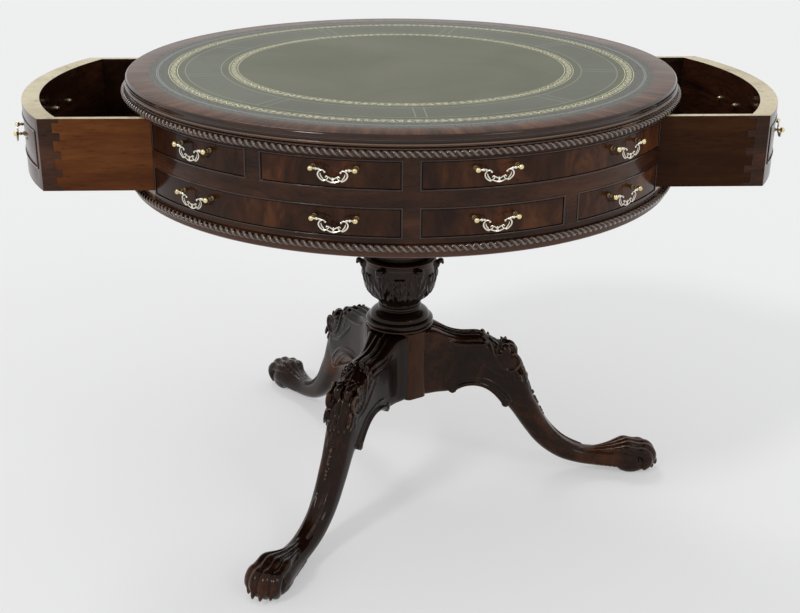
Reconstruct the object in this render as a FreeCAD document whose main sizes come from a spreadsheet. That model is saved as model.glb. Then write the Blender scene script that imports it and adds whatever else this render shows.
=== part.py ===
import FreeCAD, Part
import Sketcher
import math
import os

from FreeCAD import Placement, Rotation, Vector

# A round three-legged library desk with a revolving drum, two deep drawers and false drawer fronts.
# Units: millimetres and degrees. Z is up, the floor is Z = 0 and the column stands on the Z axis.
# The two real drawers slide along X and stand open, as they do in use.

os.makedirs("parts", exist_ok=True)
doc = FreeCAD.newDocument("drum_desk")
sheet = doc.addObject("Spreadsheet::Sheet", "Sizes")
sheet_rows = []

DEGREES_PER_RADIAN = 57.2958


class Size:
    """A length or angle with its value and the expression that gives it from the sheet."""

    def __init__(self, text, value):
        self.text = text
        self.value = value

    def __add__(self, other):
        return join(self, "+", other, self.value + number(other))

    def __radd__(self, other):
        return join(other, "+", self, number(other) + self.value)

    def __sub__(self, other):
        return join(self, "-", other, self.value - number(other))

    def __rsub__(self, other):
        return join(other, "-", self, number(other) - self.value)

    def __mul__(self, other):
        return join(self, "*", other, self.value * number(other))

    def __rmul__(self, other):
        return join(other, "*", self, number(other) * self.value)

    def __truediv__(self, other):
        return join(self, "/", other, self.value / number(other))

    def __neg__(self):
        return join(0, "-", self, -self.value)


def number(item):
    return item.value if isinstance(item, Size) else float(item)


def words(item):
    return item.text if isinstance(item, Size) else repr(item)


def join(left, sign, right, value):
    return Size(f"({words(left)} {sign} {words(right)})", value)


def size(alias, value):
    row = len(sheet_rows) + 1
    sheet_rows.append(alias)
    sheet.set(f"A{row}", alias)
    sheet.set(f"B{row}", str(value))
    sheet.setAlias(f"B{row}", alias)
    return Size(f"Sizes.{alias}", float(value))


# ---------------------------------------------------------------- driving dimensions

# drum
desk_height = size("desk_height", 767)
top_depth = size("top_depth", 31)
drum_height = size("drum_height", 145.4)
frieze_radius = size("frieze_radius", 449)
frieze_thickness = size("frieze_thickness", 18)
rim_overhang = size("rim_overhang", 1)
rim_roll = size("rim_roll", 2.5)
crossband_width = size("crossband_width", 34)
rim_lap = size("rim_lap", 30)
leather_thickness = size("leather_thickness", 1.5)
top_board_thickness = size("top_board_thickness", 22)
floor_thickness = size("floor_thickness", 10)
floor_overhang = size("floor_overhang", 2.1)
rope_radius = size("rope_radius", 5)
rope_stand = size("rope_stand", 4.4)
board_thickness = size("board_thickness", 15)

# drawers
drawer_half_width = size("drawer_half_width", 226.5)
drawer_side_gap = size("drawer_side_gap", 1)
drawer_top_gap = size("drawer_top_gap", 0.6)
drawer_lift = size("drawer_lift", 22.4)
drawer_front_thickness = size("drawer_front_thickness", 27.5)
drawer_side_thickness = size("drawer_side_thickness", 12)
drawer_back_thickness = size("drawer_back_thickness", 12)
drawer_bottom_thickness = size("drawer_bottom_thickness", 6)
drawer_bottom_lift = size("drawer_bottom_lift", 6)
drawer_back_drop = size("drawer_back_drop", 14)
stop_clearance = size("stop_clearance", 4.7)
drawer_opening = size("drawer_opening", 168)
runner_width = size("runner_width", 20)
runner_gap = size("runner_gap", 0.3)
stop_thickness = size("stop_thickness", 12)

# false drawer beads, by angle from the middle of the frieze
bead_width = size("bead_width", 2.2)
bead_stand = size("bead_stand", 1.4)
stile_half_angle = size("stile_half_angle", 1.5)
middle_stile_turn = size("middle_stile_turn", 0.8)
mid_stile_angle = size("mid_stile_angle", 30.2)
frieze_panel_margin = size("frieze_panel_margin", 5.1)
drawer_panel_margin = size("drawer_panel_margin", 13.3)
upper_panel_drop = size("upper_panel_drop", 4.5)
upper_panel_height = size("upper_panel_height", 44)
panel_rail = size("panel_rail", 24)
lower_panel_lift = size("lower_panel_lift", 7.9)
drawer_panel_drop = size("drawer_panel_drop", 21)
drawer_panel_height = size("drawer_panel_height", 60)

# handles
handle_spacing = size("handle_spacing", 62.5)
handle_stand = size("handle_stand", 13)
inner_handle_angle = size("inner_handle_angle", 14.3)
outer_handle_angle = size("outer_handle_angle", 43.8)
drawer_handle_angle = size("drawer_handle_angle", 10.9)
upper_handle_drop = size("upper_handle_drop", 13)
lower_handle_drop = size("lower_handle_drop", 16.5)
drawer_handle_drop = size("drawer_handle_drop", 30)
ball_radius = size("ball_radius", 4.2)
post_neck_radius = size("post_neck_radius", 2)
rosette_radius = size("rosette_radius", 5)
rosette_thickness = size("rosette_thickness", 1.5)
bolt_radius = size("bolt_radius", 2.5)
bolt_hole_clearance = size("bolt_hole_clearance", 0.25)
bolt_tail = size("bolt_tail", 7)
nut_radius = size("nut_radius", 4.2)
nut_thickness = size("nut_thickness", 4.5)
bail_pin_radius = size("bail_pin_radius", 1.4)
bail_pin_clearance = size("bail_pin_clearance", 0.05)
bail_pin_depth = size("bail_pin_depth", 2.4)
bail_side_gap = size("bail_side_gap", 8.65)
bail_drop = size("bail_drop", 22)
bail_band = size("bail_band", 7)
bail_thickness = size("bail_thickness", 3)
bail_collar_radius = size("bail_collar_radius", 2.6)

# revolving joint
spindle_radius = size("spindle_radius", 10)
spindle_clearance = size("spindle_clearance", 0.05)
spindle_seat = size("spindle_seat", 90)
hub_block_radius = size("hub_block_radius", 48)
hub_block_height = size("hub_block_height", 76)
nut_width_radius = size("nut_width_radius", 17)
spindle_nut_thickness = size("spindle_nut_thickness", 12)
spindle_washer_radius = size("spindle_washer_radius", 26)
spindle_washer_thickness = size("spindle_washer_thickness", 3)
swivel_ring_radius = size("swivel_ring_radius", 60)
swivel_ring_thickness = size("swivel_ring_thickness", 3)
swivel_plate_radius = size("swivel_plate_radius", 110)
swivel_plate_thickness = size("swivel_plate_thickness", 22)

# pedestal
column_height = size("column_height", 262.6)
leg_hub_height = size("leg_hub_height", 128)
hub_flat = size("hub_flat", 45)
hub_corner_flat = size("hub_corner_flat", 60)
column_base_radius = size("column_base_radius", 60.5)
column_base_height = size("column_base_height", 16)
column_neck_radius = size("column_neck_radius", 36)
vase_foot_rise = size("vase_foot_rise", 42)
vase_radius = size("vase_radius", 67)
vase_swell_rise = size("vase_swell_rise", 48)
vase_rim_radius = size("vase_rim_radius", 63)
vase_shoulder_rise = size("vase_shoulder_rise", 37)
collar_radius = size("collar_radius", 58)
collar_rise = size("collar_rise", 16)
shaft_radius = size("shaft_radius", 44)
capital_radius = size("capital_radius", 78)

# legs
leg_half_width = size("leg_half_width", 29)
leg_top_drop = size("leg_top_drop", 2)
leg_saddle_drop = size("leg_saddle_drop", 17)
knee_reach = size("knee_reach", 211)
knee_drop = size("knee_drop", 68)
shin_half_width = size("shin_half_width", 21)
ankle_to_paw = size("ankle_to_paw", 82)
ankle_height = size("ankle_height", 46)
paw_length = size("paw_length", 58)
paw_height = size("paw_height", 60)
paw_underside = size("paw_underside", 9)
paw_half_width = size("paw_half_width", 36)
foot_reach = size("foot_reach", 494)
arch_reach = size("arch_reach", 128)
arch_rise = size("arch_rise", 10)
dovetail_depth = size("dovetail_depth", 15)
dovetail_root = size("dovetail_root", 10)
dovetail_tip = size("dovetail_tip", 14)
dovetail_shoulder = size("dovetail_shoulder", 18)

# iron plate under the hub
plate_thickness = size("plate_thickness", 3)
plate_arm_width = size("plate_arm_width", 20)
plate_end = size("plate_end", 14)
inner_screw_wall = size("inner_screw_wall", 0.8)
outer_screw_inset = size("outer_screw_inset", 23)
screw_radius = size("screw_radius", 2.2)
screw_head_radius = size("screw_head_radius", 4.5)
screw_head_thickness = size("screw_head_thickness", 2.4)
screw_length = size("screw_length", 26)

doc.recompute()

# heights that follow from them
top_underside = desk_height - top_depth
drum_bottom = top_underside - drum_height
floor_top = drum_bottom + floor_thickness
frieze_height = top_underside - floor_top
drawer_top = top_underside - drawer_top_gap
drawer_bottom = floor_top + drawer_lift
drawer_height = drawer_top - drawer_bottom
partition_face = drawer_half_width + drawer_side_gap
frieze_inner_radius = frieze_radius - frieze_thickness
rim_face_radius = frieze_radius + rim_overhang
rim_flat_radius = rim_face_radius - rim_roll
leather_radius = rim_flat_radius - crossband_width
stop_face = hub_block_radius + stop_clearance + stop_thickness
drawer_inner_end = stop_face + runner_gap
bail_half_width = handle_spacing / 2 - bail_side_gap
swivel_plate_top = drum_bottom - swivel_ring_thickness
column_top = swivel_plate_top - swivel_plate_thickness
hub_top = column_top - column_height
hub_bottom = hub_top - leg_hub_height
hub_block_top = floor_top + hub_block_height
upper_panel_top = top_underside - upper_panel_drop
lower_panel_top = upper_panel_top - upper_panel_height - panel_rail
lower_panel_height = lower_panel_top - (floor_top + rope_radius * 2 + lower_panel_lift)
drawer_panel_top = drawer_top - drawer_panel_drop
upper_handle_height = upper_panel_top - upper_handle_drop
lower_handle_height = lower_panel_top - lower_handle_drop
drawer_handle_height = drawer_panel_top - drawer_handle_drop
handle_radius = frieze_radius + handle_stand
column_base_top = hub_top + column_base_height
vase_foot_height = hub_top + vase_foot_rise
vase_wide_height = vase_foot_height + vase_swell_rise
vase_rim_height = vase_wide_height + vase_shoulder_rise
collar_height = vase_rim_height + collar_rise
leg_top_height = hub_top - leg_top_drop
leg_saddle_height = hub_top - leg_saddle_drop
knee_height = hub_top - knee_drop
arch_height = hub_bottom + arch_rise
paw_reach = foot_reach - paw_length
ankle_reach = paw_reach - ankle_to_paw
inner_screw_reach = hub_flat - dovetail_depth - screw_radius - inner_screw_wall
outer_screw_reach = hub_flat + outer_screw_inset
plate_reach = outer_screw_reach + plate_end

finished = []


# ---------------------------------------------------------------- helpers

def bind(item, prop, value):
    """Set a property and tie it to the sheet."""
    if isinstance(value, Size):
        item.setExpression(prop, value.text)


def keep(item, label):
    """Mark an object as a finished sub-part."""
    item.Label = label
    finished.append(item)
    return item


def origin_plane(body, role):
    return [feature for feature in body.Origin.OriginFeatures if feature.Role == role][0]


def arc_sine(ratio):
    """The angle in degrees whose sine is the given ratio."""
    return Size(f"(asin({ratio.text}) / 1 deg)", math.degrees(math.asin(ratio.value)))


def along_wall(length):
    """The angle that a length takes up on the drum's wall, in degrees."""
    return length / frieze_radius * DEGREES_PER_RADIAN


def arc_through(start, end, radius, bulge_side):
    """The arc from start to end whose centre lies on the side opposite the bulge."""
    middle = (start + end) * 0.5
    chord = end - start
    half = chord.Length / 2
    across = Vector(-chord.y, chord.x, 0).normalize()
    rise = math.sqrt(max(radius * radius - half * half, 0))
    centre = middle - across * (rise * bulge_side)
    first = math.atan2(start.y - centre.y, start.x - centre.x)
    last = math.atan2(end.y - centre.y, end.x - centre.x)
    circle = Part.Circle(centre, Vector(0, 0, 1), radius)
    if bulge_side > 0:
        return Part.ArcOfCircle(circle, last, first), 2, 1
    return Part.ArcOfCircle(circle, first, last), 1, 2


def profile(body, plane, corners):
    """A closed sketch whose corners are tied to the sheet.

    Each corner is (across, up) or (across, up, radius, side): the last two make the edge that leaves
    the corner an arc. Side +1 bulges to the left of the way round, -1 to the right.
    """
    sketch = body.newObject("Sketcher::SketchObject", f"{body.Name}_sketch")
    sketch.AttachmentSupport = [(origin_plane(body, plane), "")]
    sketch.MapMode = "FlatFace"
    points = [Vector(number(corner[0]), number(corner[1]), 0) for corner in corners]
    count = len(points)
    ends = []
    for index, corner in enumerate(corners):
        start, end = points[index], points[(index + 1) % count]
        if len(corner) == 4:
            arc, first, last = arc_through(start, end, number(corner[2]), corner[3])
            edge = sketch.addGeometry(arc, False)
            ends.append((edge, first, last))
        else:
            edge = sketch.addGeometry(Part.LineSegment(start, end), False)
            ends.append((edge, 1, 2))
    for index in range(count):
        after = ends[(index + 1) % count]
        sketch.addConstraint(
            Sketcher.Constraint("Coincident", ends[index][0], ends[index][2], after[0], after[1]))
    for index, corner in enumerate(corners):
        edge, first, _ = ends[index]
        for kind, axis, value in (("DistanceX", -2, corner[0]), ("DistanceY", -1, corner[1])):
            if not isinstance(value, Size) and value == 0:
                sketch.addConstraint(Sketcher.Constraint("PointOnObject", edge, first, axis))
                continue
            rule = sketch.addConstraint(Sketcher.Constraint(kind, -1, 1, edge, first, number(value)))
            bind(sketch, f"Constraints[{rule}]", value)
        if len(corner) == 4:
            rule = sketch.addConstraint(Sketcher.Constraint("Radius", edge, number(corner[2])))
            bind(sketch, f"Constraints[{rule}]", corner[2])
    return sketch


def turned(label, corners):
    """A piece turned about the Z axis from its half profile (radius, height)."""
    body = doc.addObject("PartDesign::Body", label)
    sketch = profile(body, "XZ_Plane", corners)
    revolution = body.newObject("PartDesign::Revolution", f"{label}_turning")
    revolution.Profile = sketch
    revolution.ReferenceAxis = (sketch, ["V_Axis"])
    revolution.Angle = 360
    sketch.Visibility = False
    return keep(body, label)


def place(item, across=0, along=0, up=0, turn=0):
    """Move an object and turn it about Z, each amount tied to the sheet."""
    item.Placement = Placement(
        Vector(number(across), number(along), number(up)), Rotation(Vector(0, 0, 1), number(turn)))
    for prop, value in (("Base.x", across), ("Base.y", along), ("Base.z", up), ("Rotation.Angle", turn)):
        bind(item, f"Placement.{prop}", value)
    return item


def cylinder(name, radius, height, up, across=0, along=0):
    item = doc.addObject("Part::Cylinder", name)
    item.Radius, item.Height = number(radius), number(height)
    bind(item, "Radius", radius)
    bind(item, "Height", height)
    return place(item, across, along, up)


def block(name, corner, lengths):
    item = doc.addObject("Part::Box", name)
    for prop, value in zip(("Length", "Width", "Height"), lengths):
        setattr(item, prop, number(value))
        bind(item, prop, value)
    return place(item, *corner)


def cut(name, base, tool):
    item = doc.addObject("Part::Cut", name)
    item.Base, item.Tool = base, tool
    return item


def common(name, first, second):
    item = doc.addObject("Part::Common", name)
    item.Base, item.Tool = first, second
    return item


def group(name, members):
    item = doc.addObject("Part::Compound", name)
    item.Links = members
    return item


def ring(name, outer, inner, height, up):
    return cut(name, cylinder(f"{name}_outer", outer, height, up),
               cylinder(f"{name}_inner", inner, height, up))


def shape_feature(name, shape):
    item = doc.addObject("Part::Feature", name)
    item.Shape = shape
    return item


def polar(angle):
    """The turn that carries the front (-Y) to an angle round the drum, + towards +X."""
    return Rotation(Vector(0, 0, 1), angle)


def fused(shapes):
    solid = shapes[0]
    for shape in shapes[1:]:
        solid = solid.fuse(shape)
    return solid.removeSplitter()


# ---------------------------------------------------------------- revolving joint and column

turned("pedestal_column", [
    (0, hub_top),
    (column_base_radius - 3, hub_top),
    (column_base_radius - 2, hub_top + 2, 11, -1),
    (column_base_radius - 3, column_base_top),
    (column_base_radius - 6, column_base_top + 1, 16, -1),
    (column_neck_radius + 5, column_base_top + 14.5),
    (column_neck_radius + 1, column_base_top + 16),
    (column_neck_radius + 1, column_base_top + 17.5, 5, -1),
    (column_neck_radius + 1, vase_foot_height - 1),
    (column_neck_radius, vase_foot_height, 44, -1),
    (vase_radius, vase_wide_height, 90, -1),
    (vase_rim_radius, vase_rim_height),
    (collar_radius - 12, vase_rim_height - 2),
    (collar_radius - 12, collar_height - 6),
    (collar_radius - 2, collar_height - 6, 4, -1),
    (collar_radius - 2, collar_height + 1),
    (shaft_radius, collar_height + 14),
    (shaft_radius, column_top - 60, 90, 1),
    (capital_radius, column_top - 14),
    (capital_radius, column_top),
    (spindle_radius, column_top),
    (spindle_radius, swivel_plate_top - spindle_seat),
    (0, swivel_plate_top - spindle_seat),
])

turned("swivel_plate", [
    (spindle_radius, column_top),
    (swivel_plate_radius - 6, column_top),
    (swivel_plate_radius, column_top + 6),
    (swivel_plate_radius, swivel_plate_top),
    (spindle_radius, swivel_plate_top),
])

turned("swivel_washer", [
    (spindle_radius, swivel_plate_top),
    (swivel_ring_radius, swivel_plate_top),
    (swivel_ring_radius, drum_bottom),
    (spindle_radius, drum_bottom),
])

spindle_top = hub_block_top + spindle_washer_thickness + spindle_nut_thickness + 5
turned("pivot_spindle", [
    (0, swivel_plate_top - spindle_seat),
    (spindle_radius, swivel_plate_top - spindle_seat),
    (spindle_radius, spindle_top - 1.5),
    (spindle_radius - 1.5, spindle_top),
    (0, spindle_top),
])

nut_bottom = hub_block_top + spindle_washer_thickness
nut_blank = doc.addObject("Part::Prism", "nut_blank")
nut_blank.Polygon = 6
nut_blank.Circumradius, nut_blank.Height = nut_width_radius.value, spindle_nut_thickness.value
bind(nut_blank, "Circumradius", nut_width_radius)
bind(nut_blank, "Height", spindle_nut_thickness)
place(nut_blank, up=nut_bottom)
washer_blank = cylinder("washer_blank", spindle_washer_radius, spindle_washer_thickness, hub_block_top)
nut_stack = group("nut_stack", [
    cut("nut_ring", nut_blank, cylinder("nut_bore", spindle_radius, spindle_nut_thickness, nut_bottom)),
    cut("washer_ring", washer_blank,
        cylinder("washer_bore", spindle_radius, spindle_washer_thickness, hub_block_top)),
])
keep(nut_stack, "spindle_nut")

# ---------------------------------------------------------------- drum carcase

spindle_bore = spindle_radius + spindle_clearance
turned("drum_floor", [
    (spindle_bore, drum_bottom),
    (frieze_radius + floor_overhang - 2, drum_bottom),
    (frieze_radius + floor_overhang, drum_bottom + 2),
    (frieze_radius + floor_overhang, floor_top),
    (spindle_bore, floor_top),
])

turned("hub_block", [
    (spindle_bore, floor_top),
    (hub_block_radius, floor_top),
    (hub_block_radius, hub_block_top),
    (spindle_bore, hub_block_top),
])


def rope_ring(label, face_radius, bottom):
    """A half-round rope moulding that sits with its flat back on a round face."""
    centre, middle = face_radius + rope_stand, bottom + rope_radius
    corners = [(face_radius, bottom), (centre, bottom, rope_radius, -1)]
    for angle in (-45, 0, 45):
        out, up = math.cos(math.radians(angle)), math.sin(math.radians(angle))
        corners.append((centre + rope_radius * out, middle + rope_radius * up, rope_radius, -1))
    corners += [(centre, bottom + rope_radius * 2), (face_radius, bottom + rope_radius * 2)]
    turned(label, corners)


rope_ring("upper_rope", rim_face_radius, top_underside)
rope_ring("lower_rope", frieze_radius, floor_top)

board_bottom = desk_height - leather_thickness - top_board_thickness
turned("top_board", [
    (0, board_bottom),
    (leather_radius, board_bottom),
    (leather_radius, desk_height - leather_thickness),
    (0, desk_height - leather_thickness),
])

turned("leather_top", [
    (0, desk_height - leather_thickness),
    (leather_radius, desk_height - leather_thickness),
    (leather_radius, desk_height),
    (0, desk_height),
])

rope_top = top_underside + rope_radius * 2
turned("top_rim", [
    (leather_radius - rim_lap, top_underside),
    (rim_face_radius, top_underside),
    (rim_face_radius, rope_top),
    (rim_face_radius + 1, rope_top + 4, 2.4, -1),
    (rim_face_radius + 1, desk_height - 12.5),
    (rim_face_radius, desk_height - 9),
    (rim_face_radius, desk_height - 7.5),
    (rim_face_radius + 1.5, desk_height - 5.5, 5.6, -1),
    (rim_flat_radius, desk_height),
    (leather_radius, desk_height),
    (leather_radius, board_bottom),
    (leather_radius - rim_lap, board_bottom),
])

# partitions that guide the drawers, and the rails that stop them at the middle
partition_reach = cylinder("partition_reach", frieze_inner_radius, frieze_height, floor_top)
boards = []
for name, side in (("front", -1), ("back", 1)):
    near = partition_face if side > 0 else -partition_face - board_thickness
    boards.append(block(f"{name}_partition_board",
                        (-frieze_inner_radius, near, floor_top),
                        (frieze_inner_radius * 2, board_thickness, frieze_height)))
partitions = common("partitions", group("partition_boards", boards), partition_reach)
stops = []
for name, side in (("left", -1), ("right", 1)):
    start = stop_face - stop_thickness if side > 0 else -stop_face
    stops.append(block(f"{name}_stop", (start, -partition_face, floor_top),
                       (stop_thickness, partition_face * 2, frieze_height)))
keep(group("carcase_boards_group", [partitions] + stops), "carcase_boards")

# runners under the drawer sides, between the stop rails and the opening rails
runner_height = drawer_bottom - runner_gap - floor_top
runners = []
for end, way in (("right", 1), ("left", -1)):
    for name, side in (("front", -1), ("back", 1)):
        near = partition_face - runner_width if side > 0 else -partition_face
        start = drawer_inner_end if way > 0 else -frieze_inner_radius
        runners.append(block(f"{end}_{name}_runner", (start, near, floor_top),
                             (frieze_inner_radius - drawer_inner_end, runner_width, runner_height)))
runner_reach = cylinder("runner_reach", frieze_inner_radius, runner_height, floor_top)
keep(common("runners_group", group("runner_bars", runners), runner_reach), "drawer_runners")

# curved rails under the drawer openings
rail_gap = block("rail_gap", (-frieze_radius * 2, -partition_face, drum_bottom),
                 (frieze_radius * 4, partition_face * 2, frieze_height))
rail_ring = ring("rail_ring", frieze_radius, frieze_inner_radius, runner_height, floor_top)
keep(common("opening_rails_group", rail_ring, rail_gap), "opening_rails")


# ---------------------------------------------------------------- handles

def post_shape(wood):
    """A ball-headed bolt, its ball at the origin, its axis along +Y into wood of the given thickness."""
    stand = handle_stand.value
    along = Vector(0, 1, 0)
    ball = Part.makeSphere(ball_radius.value)
    neck = Part.makeCylinder(post_neck_radius.value, stand, Vector(0, 0, 0), along)
    rosette = Part.makeCylinder(
        rosette_radius.value, rosette_thickness.value, Vector(0, stand - rosette_thickness.value, 0), along)
    bolt = Part.makeCylinder(bolt_radius.value, wood + bolt_tail.value, Vector(0, stand, 0), along)
    return fused([ball, neck, rosette, bolt])


def nut_shape(wood):
    """A round nut on the bolt's tail, just clear of the curved inner face."""
    start = Vector(0, handle_stand.value + wood + 0.1, 0)
    along = Vector(0, 1, 0)
    blank = Part.makeCylinder(nut_radius.value, nut_thickness.value, start, along)
    return blank.cut(Part.makeCylinder(bolt_radius.value, nut_thickness.value, start, along))


def bore_shape(wood):
    radius = bolt_radius.value + bolt_hole_clearance.value
    start = Vector(0, handle_stand.value - 2, 0)
    return Part.makeCylinder(radius, wood + 4, start, Vector(0, 1, 0))


def pin_bore(half_span):
    """The pin hole through a pair of balls, along X."""
    radius = bail_pin_radius.value + bail_pin_clearance.value
    return Part.makeCylinder(radius, 2 * half_span, Vector(-half_span, 0, 0), Vector(1, 0, 0))


def ellipse_plate(half_width, half_height, middle, thickness):
    """An upright elliptical plate in the XZ plane, centred on Y = 0."""
    if half_width >= half_height:
        curve = Part.Ellipse(Vector(0, 0, 0), half_width, half_height)
    else:
        curve = Part.Ellipse(Vector(0, half_height, 0), Vector(half_width, 0, 0), Vector(0, 0, 0))
    face = Part.Face(Part.Wire([curve.toShape()]))
    face.rotate(Vector(0, 0, 0), Vector(1, 0, 0), 90)
    face.translate(Vector(0, thickness / 2, middle))
    return face.extrude(Vector(0, -thickness, 0))


def bail_shape():
    """The drop handle, hanging, with its pivot axis along X through the origin."""
    half = handle_spacing.value / 2
    wide, drop, band = bail_half_width.value, bail_drop.value, bail_band.value
    thick = bail_thickness.value
    middle = -drop * 0.42
    tall = drop + middle
    outer = ellipse_plate(wide, tall, middle, thick)
    inner = ellipse_plate(wide - band * 0.75, tall - band, middle + band * 0.25, thick)
    mouth = Part.makeBox(2 * (wide - band * 1.35), 2 * thick, drop,
                         Vector(-(wide - band * 1.35), -thick, middle + band * 0.25))
    body = outer.cut(inner).cut(mouth)
    pieces = [body]
    reach = half - ball_radius.value + bail_pin_depth.value
    collar = bail_collar_radius.value
    for side in (-1, 1):
        along = Vector(side, 0, 0)
        start = Vector(side * (wide - band * 0.9), 0, 0)
        pieces.append(Part.makeCylinder(bail_pin_radius.value, reach - (wide - band * 0.9), start, along))
        pieces.append(Part.makeSphere(collar, Vector(side * (half - ball_radius.value - collar - 0.8), 0, 0)))
        pieces.append(Part.makeBox(band * 0.5, thick, 5,
                                   Vector(side * (wide - band * 0.75) - band * 0.25, -thick / 2, -4)))
    return fused(pieces)


class Handle:
    """One drop handle: where its pivot is, and the wood it is bolted through."""

    def __init__(self, name, angle, height, radius, wood, centre):
        self.name = name
        self.angle = angle
        self.height = height
        self.radius = radius
        self.wood = wood
        self.centre = centre

    def spread(self):
        return math.degrees(math.asin(handle_spacing.value / 2 / self.radius))

    def carry(self, shape, angle, radius):
        """Turn a shape from the front to an angle round the drum and lift it to the handle's height."""
        moved = shape.copy()
        moved.Placement = Placement(self.centre + Vector(0, 0, self.height), polar(angle)).multiply(
            Placement(Vector(0, -radius, 0), Rotation()))
        return moved

    def pair(self, shape):
        return [self.carry(shape, self.angle + way * self.spread(), self.radius) for way in (-1, 1)]

    def pivot_radius(self):
        return self.radius * math.cos(math.radians(self.spread()))

    def posts(self):
        hole = self.carry(pin_bore(handle_spacing.value / 2 - ball_radius.value + bail_pin_depth.value + 0.3),
                          self.angle, self.pivot_radius())
        return [post.cut(hole) for post in self.pair(post_shape(self.wood))]

    def nuts(self):
        return self.pair(nut_shape(self.wood))

    def bores(self):
        return self.pair(bore_shape(self.wood))

    def make_bail(self):
        bail = shape_feature(f"{self.name}_shape", bail_shape())
        bail.Placement = Placement(self.centre + Vector(0, 0, self.height), polar(self.angle)).multiply(
            Placement(Vector(0, -self.pivot_radius(), 0), Rotation()))
        return keep(bail, self.name)


def frieze_handles(side, middle):
    handles = []
    places = (("outer_left", -outer_handle_angle.value), ("inner_left", -inner_handle_angle.value),
              ("inner_right", inner_handle_angle.value), ("outer_right", outer_handle_angle.value))
    for row, height in (("upper", upper_handle_height.value), ("lower", lower_handle_height.value)):
        for name, angle in places:
            handles.append(Handle(f"{side}_{row}_{name}_bail", middle + angle, height,
                                  handle_radius.value, frieze_thickness.value, Vector(0, 0, 0)))
    return handles


# ---------------------------------------------------------------- frieze

def panel_frame(name, start, end, top, height):
    """An applied bead that frames a false drawer, between two angles from the -Y axis."""
    span = end - start
    outer = doc.addObject("Part::Cylinder", f"{name}_outer")
    inner = doc.addObject("Part::Cylinder", f"{name}_inner")
    edge_angle = along_wall(bead_width)
    for item, radius, tall, angle in (
            (outer, frieze_radius + bead_stand, height, span),
            (inner, frieze_radius + bead_stand * 2, height - bead_width * 2, span - edge_angle * 2)):
        item.Radius, item.Height, item.Angle = number(radius), number(tall), number(angle)
        bind(item, "Radius", radius)
        bind(item, "Height", tall)
        bind(item, "Angle", angle)
    place(outer, up=top - height, turn=start - 90)
    place(inner, up=top - height + bead_width, turn=start + edge_angle - 90)
    core = cylinder(f"{name}_core", frieze_radius, height, top - height)
    return cut(f"{name}_frame", cut(f"{name}_panel", outer, core), inner)


mid_stile_start = mid_stile_angle - stile_half_angle
mid_stile_end = mid_stile_angle + stile_half_angle
middle_stile_start = -stile_half_angle - middle_stile_turn
middle_stile_end = stile_half_angle - middle_stile_turn
frieze_panel_end = 90 - arc_sine(partition_face / frieze_radius) - along_wall(frieze_panel_margin)
drawer_panel_end = arc_sine(drawer_half_width / frieze_radius) - along_wall(drawer_panel_margin)

all_frames = []
frieze_posts = []
frieze_nuts = []
for side, middle, way in (("front", 0, -1), ("back", 180, 1)):
    handles = frieze_handles(side, middle)
    bores = shape_feature(f"{side}_bores", Part.makeCompound(
        [bore for handle in handles for bore in handle.bores()]))
    near = -frieze_radius * 2 if way < 0 else partition_face
    sector = block(f"{side}_sector", (-frieze_radius * 2, near, floor_top),
                   (frieze_radius * 4, frieze_radius * 2 - partition_face, frieze_height))
    wall = ring(f"{side}_wall", frieze_radius, frieze_inner_radius, frieze_height, floor_top)
    keep(cut(f"{side}_frieze_wood", common(f"{side}_arc", wall, sector), bores), f"{side}_frieze")
    frames = []
    for row, top, height, spans in (
            ("upper", upper_panel_top, upper_panel_height,
             ((-frieze_panel_end, -mid_stile_end), (-mid_stile_start, middle_stile_start),
              (middle_stile_end, frieze_panel_end))),
            ("lower", lower_panel_top, lower_panel_height,
             ((-frieze_panel_end, middle_stile_start), (middle_stile_end, mid_stile_start),
              (mid_stile_end, frieze_panel_end)))):
        for index, (start, end) in enumerate(spans):
            frames.append(panel_frame(f"{side}_{row}_{index}", start + middle, end + middle, top, height))
    all_frames += frames
    for handle in handles:
        frieze_posts += handle.posts()
        frieze_nuts += handle.nuts()
        handle.make_bail()

keep(group("frieze_bead_group", all_frames), "frieze_beads")
keep(shape_feature("frieze_post_group", Part.makeCompound(frieze_posts)), "frieze_handle_posts")
keep(shape_feature("frieze_nut_group", Part.makeCompound(frieze_nuts)), "frieze_handle_nuts")


# ---------------------------------------------------------------- drawers

drawer_inner_radius = frieze_radius - drawer_front_thickness
drawer_inside = drawer_half_width - drawer_side_thickness
bottom_z = drawer_bottom + drawer_bottom_lift
back_height = drawer_height - drawer_bottom_lift - drawer_back_drop


def open_out(item, way):
    """Carry a closed drawer piece to its open place; the left drawer is the right one turned round."""
    return place(item, across=drawer_opening * way, turn=0 if way > 0 else 180)


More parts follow.
